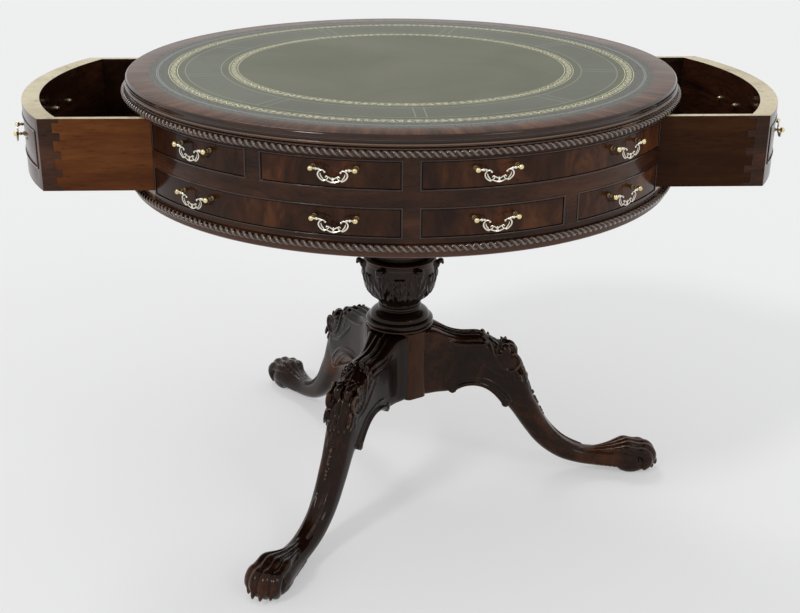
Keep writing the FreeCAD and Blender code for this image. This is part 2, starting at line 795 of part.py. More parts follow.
for side, way in (("right", 1), ("left", -1)):
    middle = 90 * way
    centre = Vector(drawer_opening.value * way, 0, 0)
    handles = [
        Handle(f"{side}_drawer_{name}_bail", middle + turn * drawer_handle_angle.value,
               drawer_handle_height.value, handle_radius.value, drawer_front_thickness.value, centre)
        for name, turn in (("first", -1), ("second", 1))]
    reach = cylinder(f"{side}_reach", drawer_inner_radius, drawer_height, drawer_bottom)

    front_block = block(f"{side}_front_block", (0, -drawer_half_width, drawer_bottom),
                        (frieze_radius, drawer_half_width * 2, drawer_height))
    curve = ring(f"{side}_front_ring", frieze_radius, drawer_inner_radius, drawer_height, drawer_bottom)
    front_wood = open_out(common(f"{side}_front_wood", curve, front_block), way)
    bores = shape_feature(f"{side}_drawer_bores", Part.makeCompound(
        [bore for handle in handles for bore in handle.bores()]))
    keep(cut(f"{side}_front_bored", front_wood, bores), f"{side}_drawer_front")

    side_bars = []
    for name, edge in (("near", -1), ("far", 1)):
        start = drawer_inside if edge > 0 else -drawer_half_width
        side_bars.append(block(f"{side}_{name}_bar", (drawer_inner_end, start, drawer_bottom),
                               (frieze_radius, drawer_side_thickness, drawer_height)))
    keep(open_out(common(f"{side}_sides_wood", group(f"{side}_side_bars", side_bars), reach), way),
         f"{side}_drawer_sides")

    back = block(f"{side}_back_wood", (0, 0, 0), (drawer_back_thickness, drawer_inside * 2, back_height))
    place(back, across=(drawer_opening + drawer_inner_end) * way, along=-drawer_inside * way,
          up=bottom_z, turn=0 if way > 0 else 180)
    keep(back, f"{side}_drawer_back")

    floor_sheet = block(f"{side}_floor_sheet",
                        (drawer_inner_end + drawer_back_thickness, -drawer_inside, bottom_z),
                        (frieze_radius, drawer_inside * 2, drawer_bottom_thickness))
    keep(open_out(common(f"{side}_bottom_wood", floor_sheet, reach), way), f"{side}_drawer_bottom")

    frame = panel_frame(f"{side}_drawer", 90 - drawer_panel_end, 90 + drawer_panel_end,
                        drawer_panel_top, drawer_panel_height)
    keep(open_out(frame, way), f"{side}_drawer_beads")

    keep(shape_feature(f"{side}_post_pair", Part.makeCompound(
        [post for handle in handles for post in handle.posts()])), f"{side}_drawer_posts")
    keep(shape_feature(f"{side}_nut_pair", Part.makeCompound(
        [nut for handle in handles for nut in handle.nuts()])), f"{side}_drawer_nuts")
    for handle in handles:
        handle.make_bail()


# ---------------------------------------------------------------- hub, legs and iron plate

def arm_turn(index):
    return Rotation(Vector(0, 0, 1), 120 * index)


def turned_copy(shape, index):
    copy = shape.copy()
    copy.Placement = Placement(Vector(0, 0, 0), arm_turn(index))
    return copy


def dovetail_shape():
    """The tail that slides up into the hub, its tip towards the axis."""
    root, tip = dovetail_root.value, dovetail_tip.value
    flat, depth = hub_flat.value, dovetail_depth.value
    corners = [Vector(flat, -root, 0), Vector(flat, root, 0),
               Vector(flat - depth, tip, 0), Vector(flat - depth, -tip, 0)]
    face = Part.Face(Part.makePolygon(corners + corners[:1]))
    face.translate(Vector(0, 0, hub_bottom.value))
    return face.extrude(Vector(0, 0, hub_top.value - hub_bottom.value - dovetail_shoulder.value))


def screw_points():
    return [Vector(reach.value, 0, hub_bottom.value - plate_thickness.value)
            for reach in (inner_screw_reach, outer_screw_reach)]


def screw_shank(point, radius):
    return Part.makeCylinder(radius, screw_length.value, point, Vector(0, 0, 1))


# how the two long edges of a leg run between its named points, as shares of the reach and the rise there
SHOULDER_REACH = 0.7
ABOVE_KNEE = (0.4, 0.575)
SHIN_TOP = ((0.22, 0.70), (0.52, 0.265), (0.74, 0.079))
SHIN_UNDER = ((0.745, 0.07), (0.51, 0.185), (0.255, 0.382))
UNDER_KNEE = ((3, 0.66), (-24, 0.82))
TOE_TOP = (0.6, 0.84)
TOE_FRONT = 0.42
TOE_TUCK = 12


def leg_side_outline():
    """The leg seen from the side, as (reach, height) points of its two long curves."""
    flat, top, saddle = hub_flat.value, hub_top.value, leg_saddle_height.value
    shoulder = column_base_radius.value + 1.5
    knee, knee_z = knee_reach.value, knee_height.value
    ankle, ankle_z = ankle_reach.value, ankle_height.value
    paw, paw_z, toe = paw_reach.value, paw_height.value, foot_reach.value
    arch, arch_z = arch_reach.value, arch_height.value
    shin, drop = ankle - knee, knee_z - ankle_z
    sole, under = paw_underside.value, arch_z - paw_underside.value
    upper = [(shoulder, leg_top_height.value), (arch * SHOULDER_REACH, saddle + 4), (arch, saddle),
             (arch + (knee - arch) * ABOVE_KNEE[0], knee_z + (top - knee_z) * ABOVE_KNEE[1]), (knee, knee_z)]
    upper += [(knee + shin * along, ankle_z + drop * rise) for along, rise in SHIN_TOP]
    upper += [(ankle, ankle_z), (paw - 24, paw_z - 11), (paw, paw_z),
              (paw + (toe - paw) * TOE_TOP[0], paw_z * TOE_TOP[1]), (toe, paw_z * TOE_FRONT),
              (toe - TOE_TUCK, 0)]
    lower = [(paw - 6, 0), (paw - 50, sole + 5)]
    lower += [(knee + shin * along, sole + under * rise) for along, rise in SHIN_UNDER]
    lower += [(knee + along, sole + under * rise) for along, rise in UNDER_KNEE]
    lower += [(arch + 14, arch_z), (arch - 12, arch_z - 3), (arch - 32, hub_bottom.value)]
    return flat, top, shoulder, upper, lower


def spline_edge(points, lift):
    curve = Part.BSplineCurve()
    curve.interpolate([lift(*point) for point in points])
    return curve.toShape()


def leg_shape():
    flat, top, shoulder, upper, lower = leg_side_outline()

    def upright(reach, height):
        return Vector(reach, 0, height)

    edges = [
        Part.makeLine(upright(flat, hub_bottom.value), upright(flat, top)),
        Part.makeLine(upright(flat, top), upright(shoulder, top)),
        Part.makeLine(upright(shoulder, top), upright(*upper[0])),
        spline_edge(upper, upright),
        Part.makeLine(upright(*upper[-1]), upright(*lower[0])),
        spline_edge(lower, upright),
        Part.makeLine(upright(*lower[-1]), upright(flat, hub_bottom.value)),
    ]
    widest = paw_half_width.value
    slab = Part.Face(Part.Wire(edges))
    slab.translate(Vector(0, -widest, 0))
    slab = slab.extrude(Vector(0, 2 * widest, 0))

    half, shin = leg_half_width.value, shin_half_width.value
    knee, ankle, paw, toe = knee_reach.value, ankle_reach.value, paw_reach.value, foot_reach.value
    plan = [(knee - 40, half), (knee, half), (knee + (ankle - knee) * 0.45, shin + 2), (ankle, shin),
            (paw - 38, shin + 1), (paw - 12, widest - 5), (paw + 14, widest), (toe - 16, widest * 0.8),
            (toe + 2, widest * 0.35)]

    def flatwise(side):
        return lambda reach, wide: Vector(reach, side * wide, 0)

    start, end = plan[0], plan[-1]
    outline = [
        Part.makeLine(Vector(flat, -half, 0), Vector(start[0], -half, 0)),
        spline_edge(plan, flatwise(-1)),
        Part.makeLine(Vector(end[0], -end[1], 0), Vector(end[0], end[1], 0)),
        spline_edge(plan[::-1], flatwise(1)),
        Part.makeLine(Vector(start[0], half, 0), Vector(flat, half, 0)),
        Part.makeLine(Vector(flat, half, 0), Vector(flat, -half, 0)),
    ]
    footprint = Part.Face(Part.Wire(outline))
    column = footprint.extrude(Vector(0, 0, leg_top_height.value + knee_height.value))
    leg = slab.common(column)
    leg = fused([leg, dovetail_shape()])
    return leg.cut(screw_shank(screw_points()[1], screw_radius.value))


def hub_shape():
    """A six-sided block: three wide flats for the legs and three narrow ones between them."""
    flat, corner, top = hub_flat.value, hub_corner_flat.value, hub_top.value
    # the corner where a wide flat at 0 degrees meets a narrow one at 60 degrees
    across = (corner - flat * math.cos(math.radians(60))) / math.sin(math.radians(60))
    points = []
    for index in range(3):
        for side in (-1, 1):
            points.append(arm_turn(index).multVec(Vector(flat, side * across, hub_bottom.value)))
    block_shape = Part.Face(Part.makePolygon(points + points[:1])).extrude(
        Vector(0, 0, top - hub_bottom.value))
    for index in range(3):
        block_shape = block_shape.cut(turned_copy(dovetail_shape(), index))
        block_shape = block_shape.cut(
            turned_copy(screw_shank(screw_points()[0], screw_radius.value), index))
    return block_shape


def plate_shape():
    half, reach, thick = plate_arm_width.value / 2, plate_reach.value, plate_thickness.value
    arm = Part.makeBox(reach, 2 * half, thick, Vector(0, -half, hub_bottom.value - thick))
    plate = fused([turned_copy(arm, index) for index in range(3)])
    for index in range(3):
        for point in screw_points():
            plate = plate.cut(turned_copy(screw_shank(point, screw_radius.value), index))
    return plate


def screw_shape(point):
    shank = screw_shank(point, screw_radius.value)
    head = Part.makeCylinder(screw_head_radius.value, screw_head_thickness.value, point, Vector(0, 0, -1))
    return fused([shank, head])


keep(shape_feature("hub_wood", hub_shape()), "leg_hub")
one_leg = leg_shape()
for index, name in enumerate(("right_leg", "back_leg", "front_leg")):
    keep(shape_feature(f"{name}_wood", turned_copy(one_leg, index)), name)
keep(shape_feature("plate_iron", plate_shape()), "tripod_plate")
keep(shape_feature("plate_screw_group", Part.makeCompound(
    [turned_copy(screw_shape(point), index) for index in range(3) for point in screw_points()])),
     "plate_screws")


# ---------------------------------------------------------------- checks and export

doc.recompute()
faults = [f"{item.Label}: {item.State}" for item in doc.Objects
          if "Invalid" in item.State or "Error" in item.State]
for item in finished:
    if item.Shape.isNull() or not item.Shape.isValid() or not item.Shape.Solids:
        faults.append(f"{item.Label}: bad shape")
if faults:
    raise RuntimeError("; ".join(faults))

for item in finished:
    item.Shape.exportStep(f"parts/{item.Label}.step")
    print(item.Label, len(item.Shape.Solids), round(item.Shape.Volume / 1000, 2), "cm3")
print(len(finished), "sub-parts")
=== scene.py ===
# %% [markdown]
# # A revolving drum desk, dressed in Blender
#
# The desk is a round drum with a leather top. It turns on a carved column that stands on three curved legs.
# Two deep drawers slide out of its sides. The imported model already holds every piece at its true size, so
# this file never moves a piece: it only models the mouldings, carving and brasswork, and makes the finishes.
# All lengths are in metres, Z is up, and the desk stands on the floor at Z = 0.

import math
from contextlib import contextmanager
from itertools import pairwise

import bmesh
import bpy
from mathutils import Matrix, Vector


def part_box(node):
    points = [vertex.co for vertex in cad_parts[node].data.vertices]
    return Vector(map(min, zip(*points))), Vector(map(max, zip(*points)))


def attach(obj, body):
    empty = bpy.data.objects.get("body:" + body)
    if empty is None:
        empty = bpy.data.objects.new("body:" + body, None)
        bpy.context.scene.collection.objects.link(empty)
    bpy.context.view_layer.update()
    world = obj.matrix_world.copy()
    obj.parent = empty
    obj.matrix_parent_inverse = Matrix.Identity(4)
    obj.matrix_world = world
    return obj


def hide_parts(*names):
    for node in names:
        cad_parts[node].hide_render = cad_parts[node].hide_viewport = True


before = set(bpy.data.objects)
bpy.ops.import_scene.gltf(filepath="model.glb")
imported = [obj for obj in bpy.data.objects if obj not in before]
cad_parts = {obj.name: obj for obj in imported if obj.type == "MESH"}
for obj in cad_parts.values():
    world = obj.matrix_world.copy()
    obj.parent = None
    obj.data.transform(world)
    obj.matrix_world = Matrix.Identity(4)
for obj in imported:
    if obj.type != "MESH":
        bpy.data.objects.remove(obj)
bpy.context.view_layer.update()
scene = bpy.context.scene

# %% [markdown]
# ## Sizes taken from the frame
#
# A dressed piece has to sit exactly on what carries it. The frame knows where every node is, so the sizes
# below are read from the nodes' boxes instead of being typed again. Only small details that the solids
# leave out, such as the depth of a carved groove, get numbers of their own later on.

# %% Read the main sizes
MM = 0.001
TURN = math.tau


def low(node):
    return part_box(node)[0]


def high(node):
    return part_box(node)[1]


# A box doesn't tell the radius of a curved wall, so the wall's two radii are given.
wall_radius, wall_inner = 449 * MM, 431 * MM
desk_top = high("leather_top").z
leather_edge = high("leather_top").x
rim_underside = low("top_rim").z
floor_board_top = high("drum_floor").z
wall_half_width = -high("front_frieze").y
drawer_low, drawer_high = low("right_drawer_front").z, high("right_drawer_front").z
drawer_half = high("right_drawer_front").y
drawer_shift = high("right_drawer_front").x - wall_radius
hub_low, hub_high = low("leg_hub").z, high("leg_hub").z
print(f"top at {desk_top:.3f}, drum wall {floor_board_top:.3f} to {rim_underside:.3f}")

# %% [markdown]
# ## Shader arithmetic
#
# A procedural finish is a formula over the surface, and a formula is easier to read as a sum than as a
# picture of boxes. `Wire` wraps one output socket and turns each operator into a Math node. `Finish` holds
# one material, adds any other kind of node, and ends by feeding the shader.

# %% A socket that can be used in sums
class Wire:
    """One output of a node, usable in Python arithmetic."""

    def __init__(self, finish, socket):
        self.finish = finish
        self.socket = socket

    def maths(self, operation, *terms):
        return self.finish.node("ShaderNodeMath", {"operation": operation}, dict(enumerate(terms)))

    def __add__(self, other):
        return self.maths("ADD", self, other)

    def __radd__(self, other):
        return self.maths("ADD", other, self)

    def __sub__(self, other):
        return self.maths("SUBTRACT", self, other)

    def __rsub__(self, other):
        return self.maths("SUBTRACT", other, self)

    def __mul__(self, other):
        return self.maths("MULTIPLY", self, other)

    def __rmul__(self, other):
        return self.maths("MULTIPLY", other, self)

    def __truediv__(self, other):
        return self.maths("DIVIDE", self, other)

    def __rtruediv__(self, other):
        return self.maths("DIVIDE", other, self)

    def __pow__(self, other):
        return self.maths("POWER", self, other)

    def __abs__(self):
        return self.maths("ABSOLUTE", self)

    def sine(self):
        return self.maths("SINE", self)

    def fraction(self):
        return self.maths("FRACT", self)

    def below(self, edge, blur=0.0):
        """1 where the value is under the edge and 0 above it, with a soft step of the given width."""
        if not blur:
            return self.maths("LESS_THAN", self, edge)
        return self.finish.node("ShaderNodeMapRange", {"interpolation_type": "SMOOTHSTEP"}, {
            "Value": self, "From Min": edge - blur / 2, "From Max": edge + blur / 2,
            "To Min": 1.0, "To Max": 0.0})

    def clamped(self):
        return self.finish.node("ShaderNodeClamp", {}, {"Value": self})


# %% A material made from wires
class Finish:
    """One material and the nodes that feed its shader."""

    def __init__(self, name):
        self.material = bpy.data.materials.new(name)
        self.material.use_nodes = True
        self.tree = self.material.node_tree
        self.shader = self.tree.nodes["Principled BSDF"]

    def feed(self, socket, value):
        if isinstance(value, Wire):
            self.tree.links.new(value.socket, socket)
        elif hasattr(value, "__len__") and len(value) == 3 and socket.type == "RGBA":
            socket.default_value = (*value, 1.0)
        else:
            socket.default_value = value

    def node(self, kind, settings, sockets, output=0):
        """Add a node, set it up, feed its sockets and give back one of its outputs."""
        item = self.tree.nodes.new(kind)
        for key, value in settings.items():
            if key == "stops":
                self.set_stops(item.color_ramp, value)
            else:
                setattr(item, key, value)
        for key, value in sockets.items():
            self.feed(item.inputs[key], value)
        return Wire(self, item.outputs[output])

    def set_stops(self, ramp, stops):
        while len(ramp.elements) < len(stops):
            ramp.elements.new(1.0)
        for element, (place, colour) in zip(ramp.elements, stops):
            element.position = place
            element.color = (*colour, 1.0)

    def place(self, scale=(1, 1, 1), turn=(0, 0, 0)):
        """Object coordinates, scaled and turned for one pattern."""
        spot = self.node("ShaderNodeTexCoord", {}, {}, "Object")
        return self.node("ShaderNodeMapping", {}, {"Vector": spot, "Scale": scale, "Rotation": turn})

    def axes(self, vector):
        item = self.tree.nodes.new("ShaderNodeSeparateXYZ")
        self.feed(item.inputs[0], vector)
        return [Wire(self, socket) for socket in item.outputs]

    def noise(self, vector, scale, detail=4.0, rough=0.5, warp=0.0):
        return self.node("ShaderNodeTexNoise", {}, {
            "Vector": vector, "Scale": scale, "Detail": detail, "Roughness": rough, "Distortion": warp})

    def blend(self, share, first, second):
        """Mix two colours."""
        return self.node("ShaderNodeMix", {"data_type": "RGBA"}, {0: share, 6: first, 7: second}, 2)

    def ramp(self, value, *stops):
        return self.node("ShaderNodeValToRGB", {"stops": stops}, {"Fac": value})

    def bump(self, height, depth, strength):
        return self.node("ShaderNodeBump", {}, {"Height": height, "Distance": depth, "Strength": strength})

    def finish(self, **values):
        """Set or link the shader's sockets, named with underscores for spaces."""
        for key, value in values.items():
            self.feed(self.shader.inputs[key.replace("_", " ")], value)
        print("finish", self.material.name)
        return self.material


# %% [markdown]
# ## Bench tools
#
# Every piece is made the way it would be by hand: add a primitive, go into edit mode, pick faces by their
# place, and use an operator on them. These few helpers keep that readable. `editing` opens and closes edit
# mode, `pick` selects by a rule, and `settle` leaves the piece at the origin with its place in its mesh.

# %% Select, edit and settle
def alone(*pieces):
    """Select these pieces and nothing else."""
    bpy.ops.object.select_all(action="DESELECT")
    for piece in pieces:
        piece.select_set(True)
    bpy.context.view_layer.objects.active = pieces[0]


def primitive(kind, name, **settings):
    """Add a mesh primitive as the only selected object."""
    bpy.ops.object.select_all(action="DESELECT")
    getattr(bpy.ops.mesh, f"primitive_{kind}_add")(**settings)
    piece = bpy.context.object
    piece.name = name
    return piece


@contextmanager
def editing(piece):
    alone(piece)
    bpy.ops.object.mode_set(mode="EDIT")
    bpy.ops.mesh.select_mode(type="VERT")
    bpy.ops.mesh.select_all(action="SELECT")
    yield
    bpy.ops.object.mode_set(mode="OBJECT")


def pick(kind, rule):
    """In edit mode, select just the verts, edges or faces that the rule accepts."""
    bpy.ops.mesh.select_all(action="DESELECT")
    bpy.ops.mesh.select_mode(type={"verts": "VERT", "edges": "EDGE", "faces": "FACE"}[kind])
    shape = bmesh.from_edit_mesh(bpy.context.object.data)
    for item in getattr(shape, kind):
        item.select_set(bool(rule(item)))
    bmesh.update_edit_mesh(bpy.context.object.data)


def settle(piece):
    """Put the object's place, turn and scale into its mesh."""
    alone(piece)
    bpy.ops.object.transform_apply(location=True, rotation=True, scale=True)
    return piece


def modify(piece, kind, **settings):
    """Add a modifier, set it up and apply it."""
    alone(piece)
    modifier = piece.modifiers.new(kind.title(), kind)
    for key, value in settings.items():
        setattr(modifier, key, value)
    bpy.ops.object.modifier_apply(modifier=modifier.name)
    return piece


def join(name, pieces):
    """Join several pieces into one."""
    alone(*pieces)
    if len(pieces) > 1:
        bpy.ops.object.join()
    bpy.context.object.name = name
    return bpy.context.object


def copy_of(piece, name, matrix):
    """A copy with its own mesh, moved by a matrix."""
    other = piece.copy()
    other.data = piece.data.copy()
    other.name = name
    scene.collection.objects.link(other)
    other.data.transform(matrix)
    return other


def smooth(piece, angle):
    """Smooth shading that keeps edges sharper than the angle."""
    alone(piece)
    bpy.ops.object.shade_smooth_by_angle(angle=math.radians(angle))
    return piece


def tidy_mesh(merge=1e-6):
    """In edit mode, weld doubles and turn the faces outwards."""
    bpy.ops.mesh.select_all(action="SELECT")
    bpy.ops.mesh.remove_doubles(threshold=merge)
    bpy.ops.mesh.normals_make_consistent(inside=False)


# %% [markdown]
# Most of the desk is round, so most pieces start as an outline that is spun about an axis. The outline is
# drawn by extruding one vertex along it. `bow` gives the points of a rounded stretch of an outline, with a
# positive bulge to the right of the way it runs.

# %% Draw and spin an outline
def bow(start, end, bulge, steps=6):
    """Points of an arc between two points, without its first; bulge is its height over half its chord."""
    start, end = Vector(start), Vector(end)
    half = (end - start) / 2
    side = Vector((half.y, -half.x))
    sweep = 4 * math.atan(bulge)
    points = []
    centre = (start + end) / 2 - side * ((1 - bulge * bulge) / (2 * bulge))
    spoke = start - centre
    for step in range(1, steps + 1):
        angle = sweep * step / steps
        turned = Vector((spoke.x * math.cos(angle) - spoke.y * math.sin(angle),
                         spoke.x * math.sin(angle) + spoke.y * math.cos(angle)))
        points.append(tuple(centre + turned))
    return points


def draw(name, points):
    """One vertex extruded along (x, z) points, as a wire in the XZ plane."""
    piece = primitive("plane", name, size=MM)
    with editing(piece):
        bpy.ops.mesh.merge(type="CENTER")
        bpy.ops.transform.translate(value=(points[0][0], 0, points[0][1]))
        for (x0, z0), (x1, z1) in pairwise(points):
            bpy.ops.mesh.extrude_vertices_move(TRANSFORM_OT_translate={"value": (x1 - x0, 0, z1 - z0)})
    return piece


def spun(name, points, steps, start=0.0, sweep=TURN, closed=False, angle=35):
    """A piece turned about the Z axis from a half outline of (radius, height) points."""
    points = points + points[:1] if closed else points
    piece = draw(name, points)
    with editing(piece):
        bpy.ops.mesh.remove_doubles(threshold=1e-7)
        bpy.ops.transform.rotate(value=-start, orient_axis="Z", center_override=(0, 0, 0))
        bpy.ops.mesh.spin(steps=steps, angle=sweep, center=(0, 0, 0), axis=(0, 0, -1))
        if closed and sweep < TURN - 1e-6:
            bpy.ops.mesh.select_all(action="SELECT")
            bpy.ops.mesh.region_to_loop()
            bpy.ops.mesh.edge_face_add()
        tidy_mesh()
    return smooth(piece, angle)


# %% [markdown]
# A finished piece gets its finishes, rides on one body of the frame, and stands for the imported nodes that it
# replaces. A piece may carry a second finish on some of its faces, such as a veneered panel in a plain rail.

# %% Paint and mount a piece
def paint(piece, finish, rule=None):
    """Give a piece a finish, or give it only to those faces that the rule accepts."""
    piece.data.materials.append(finish)
    if rule is not None:
        with editing(piece):
            pick("faces", rule)
            piece.active_material_index = len(piece.data.materials) - 1
            bpy.ops.object.material_slot_assign()
    return piece


def mount(piece, body, slot, *nodes):
    """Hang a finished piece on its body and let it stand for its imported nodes."""
    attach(piece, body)
    if nodes:
        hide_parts(*nodes)
    print(piece.name, len(piece.data.polygons), "faces")


def place_at(angle, reach, height):
    """Carry a piece made at the front, looking along -Y, to an angle round the drum."""
    return Matrix.Rotation(math.radians(angle), 4, "Z") @ Matrix.Translation((0, -reach, height))


def bearing(point):
    """Degrees round the drum from its front, positive towards +X."""
    return math.degrees(math.atan2(point.x, -point.y))

# %% [markdown]
# ## Mahogany
#
# Old mahogany is dark red-brown under a hard, clear polish. Three things make it read as wood: fine pores
# and fibres that run along the grain, broad ribbons of lighter and darker colour, and darkening in every
# recess, partly stain and partly painted shade. On carved woods the sharpest crests are lightened too, partly
# wear and partly painted highlights and glints. One function makes them all, and each use gives its own
# colours and grain direction.

# %% The wood finishes
def crevice(finish, dark=0.46, light=0.54):
    """0 deep in the carving and 1 on its crests."""
    shape = finish.node("ShaderNodeNewGeometry", {}, {}, "Pointiness")
    return finish.node("ShaderNodeMapRange", {}, {"Value": shape, "From Min": dark, "From Max": light})


def polar(finish, spot):
    """The reach of a place from the desk's middle, and the angle round it."""
    across, along, _ = finish.axes(spot)
    return (across * across + along * along) ** 0.5, along.maths("ARCTAN2", along, across)


def radial_place(finish, grain):
    """Coordinates for veneer whose grain runs outwards: the angle round the drum and the reach."""
    reach, angle = polar(finish, finish.place())
    return finish.node("ShaderNodeCombineXYZ", {}, {0: angle * grain[0], 1: reach * grain[1]})


def shaded(colour, share):
    return [part * share for part in colour]


FIBRES_FINER = 14
FIBRE_DEPTH = 0.00005
TONE_STOPS = (0.38, 0.50, 0.63)
PORE_SHADE, RECESS_SHADE = 0.45, 0.35
WARM_GLOSS = (1.0, 0.80, 0.66)


def wood(name, dark, middle, bright, *, coat, grain=(14, 14, 2.2), turn=(0, 0, 0), polish=0.16,
         gloss=0.10, wear_and_glint=None, ribbon=1.0, fibres=0.15, pore=0.45, radial=False, shine=0.55, crest=0.75):
    """A polished wood whose grain runs along the axis with the smallest scale, or out from the middle."""
    finish = Finish(name)

    def along_grain(scales):
        return radial_place(finish, scales) if radial else finish.place(scales, turn)

    spot = along_grain(grain)
    broad = finish.noise(spot, 0.8, detail=3.0, warp=0.6 * ribbon)
    ribbons = finish.noise(spot, 2.6, detail=5.0, rough=0.6, warp=1.2 * ribbon)
    fibre = finish.noise(along_grain([axis * FIBRES_FINER for axis in grain]), 1.4, detail=3.0, rough=0.65)
    tone = (broad * 0.5 + ribbons * (0.5 - fibres) + fibre * fibres).clamped()
    colour = finish.ramp(tone, *zip(TONE_STOPS, (dark, middle, bright)))
    colour = finish.blend(fibre.below(0.36, 0.08) * pore, colour, shaded(dark, PORE_SHADE))
    if wear_and_glint is not None:
        # Recesses are darkened towards a share of the dark colour: partly stain, partly painted shade.
        edge = crevice(finish)
        colour = finish.blend((1.0 - edge) * 0.85, colour, shaded(dark, RECESS_SHADE))
        # The sharpest crests are lightened towards the given crest colour: partly wear, partly painted
        # highlights and glints.
        wear_and_glint_spots = finish.node("ShaderNodeMapRange", {}, {
            "Value": edge, "From Min": crest, "From Max": 1.0, "To Max": shine})
        colour = finish.blend(wear_and_glint_spots, colour, wear_and_glint)
    return finish.finish(Base_Color=colour, Roughness=polish + fibre * 0.10, Coat_Weight=coat,
                         Coat_Roughness=0.05, Specular_IOR_Level=gloss, Specular_Tint=WARM_GLOSS,
                         Normal=finish.bump(fibre, FIBRE_DEPTH, 0.35))


# %% Mix the woods
# A crest colour below stands partly for wear and partly for painted highlights: glints on the rope, a bright
# line on the rim's edge, highlights on the beads and legs.
carved_mahogany = wood("carved_mahogany", (0.008, 0.003, 0.002), (0.020, 0.007, 0.004),
                       (0.045, 0.015, 0.008), coat=0.20, gloss=0.28, wear_and_glint=(0.09, 0.035, 0.018))
leg_mahogany = wood("leg_mahogany", (0.005, 0.0018, 0.0012), (0.020, 0.0066, 0.0032),
                    (0.110, 0.034, 0.010), grain=(5, 7, 5), polish=0.14, coat=0.18, gloss=0.12,
                    wear_and_glint=(0.170, 0.095, 0.055), shine=0.5, crest=0.93)
column_mahogany = wood("column_mahogany", (0.005, 0.002, 0.0015), (0.014, 0.005, 0.003),
                       (0.036, 0.012, 0.006), grain=(16, 16, 3), coat=0.30, gloss=0.12,
                       wear_and_glint=(0.075, 0.029, 0.013))
hub_mahogany = wood("hub_mahogany", (0.022, 0.008, 0.0035), (0.044, 0.016, 0.006),
                    (0.072, 0.027, 0.010), grain=(16, 16, 3), coat=0.14)
frieze_mahogany = wood("frieze_mahogany", (0.013, 0.005, 0.003), (0.034, 0.012, 0.006),
                       (0.070, 0.026, 0.012), grain=(5, 5, 22), coat=0.22)
flame_mahogany = wood("flame_mahogany", (0.013, 0.0045, 0.0025), (0.036, 0.0120, 0.0050),
                      (0.100, 0.033, 0.012), grain=(7, 7, 3.6), turn=(0.3, 0.4, 0.3), ribbon=1.6,
                      fibres=0.08, pore=0.3, coat=0.20, gloss=0.08)
edge_mahogany = wood("edge_mahogany", (0.012, 0.005, 0.0035), (0.030, 0.012, 0.007),
                     (0.066, 0.025, 0.013), grain=(5, 5, 22), polish=0.12, coat=0.6,
                     wear_and_glint=(0.32, 0.19, 0.12), crest=0.85)
bead_mahogany = wood("bead_mahogany", (0.008, 0.0035, 0.0025), (0.018, 0.007, 0.0045),
                     (0.036, 0.014, 0.008), grain=(5, 5, 22), polish=0.10, coat=0.8,
                     wear_and_glint=(0.17, 0.10, 0.06), shine=0.45, crest=0.92)
# Near black, for the groove round each panel: painted shadow in the groove.
groove_painted_shadow = wood("groove_painted_shadow", (0.003, 0.0012, 0.0010), (0.006, 0.0024, 0.0016),
                       (0.012, 0.0045, 0.0030), grain=(9, 9, 9), polish=0.5, coat=0.0)
crossband_mahogany = wood("crossband_mahogany", (0.034, 0.012, 0.005), (0.074, 0.028, 0.012),
                          (0.145, 0.060, 0.026), grain=(22, 5, 1), ribbon=0.4, coat=0.10, gloss=0.06,
                          radial=True, pore=0.6)
drawer_wood = wood("drawer_wood", (0.060, 0.015, 0.003), (0.105, 0.030, 0.006),
                   (0.160, 0.052, 0.012), grain=(2.2, 14, 16), polish=0.30, coat=0.08)
# The same side boards, darker: painted shade for the right drawer, which gets less light than the left.
shaded_drawer_wood = wood("shaded_drawer_wood", (0.016, 0.005, 0.0015), (0.028, 0.009, 0.003),
                          (0.046, 0.016, 0.005), grain=(2.2, 14, 16), polish=0.30, coat=0.04, gloss=0.06)
# A much darker copy of the drawer wood for the inside faces, back and bottom: painted shade inside the drawer.
drawer_inside_shade_wood = wood("drawer_inside_shade_wood", (0.007, 0.0028, 0.0014), (0.015, 0.0055, 0.0026),
                          (0.028, 0.010, 0.004), grain=(16, 2.2, 14), polish=0.40, coat=0.03, gloss=0.06)
rope_mahogany = wood("rope_mahogany", (0.010, 0.004, 0.003), (0.024, 0.0095, 0.006),
                     (0.050, 0.020, 0.011), grain=(9, 9, 9), polish=0.10, coat=1.0,
                     wear_and_glint=(0.34, 0.23, 0.16), shine=0.45, crest=0.95)
bare_edge_and_highlight_wood = wood("bare_edge_and_highlight_wood", (0.42, 0.34, 0.20), (0.58, 0.50, 0.32),
                      (0.70, 0.63, 0.44), grain=(4, 4, 18), polish=0.30, coat=0.2)
carcase_wood = wood("carcase_wood", (0.10, 0.050, 0.024), (0.16, 0.085, 0.042),
                    (0.22, 0.125, 0.065), grain=(2.2, 12, 12), polish=0.55, coat=0.0)

# %% [markdown]
# ## Brass, steel and iron
#
# Metals need little colour and much roughness detail. Handled brass is bright where fingers polish it and
# brown where they can't reach, so the same crevice value that darkens the carving darkens the castings.

# %% The metal finishes
SMUDGE_SCALE, TARNISH = 60.0, 0.7


def metal(name, bright, dull, polish):
    """A metal that is bright where it is handled and dull in its recesses."""
    finish = Finish(name)
    spot = finish.place()
    cloud = finish.noise(spot, SMUDGE_SCALE, detail=4.0)
    hidden = (1.0 - crevice(finish, 0.44, 0.53)) * TARNISH
    patina = (hidden + cloud.below(0.42, 0.2) * 0.25).clamped()
    fine = finish.noise(spot, SMUDGE_SCALE * 14, detail=2.0)
    return finish.finish(Base_Color=finish.blend(patina, bright, dull), Metallic=1.0,
                         Roughness=polish + patina * 0.25 + fine * 0.06,
                         Normal=finish.bump(fine, 0.00002, 0.3))


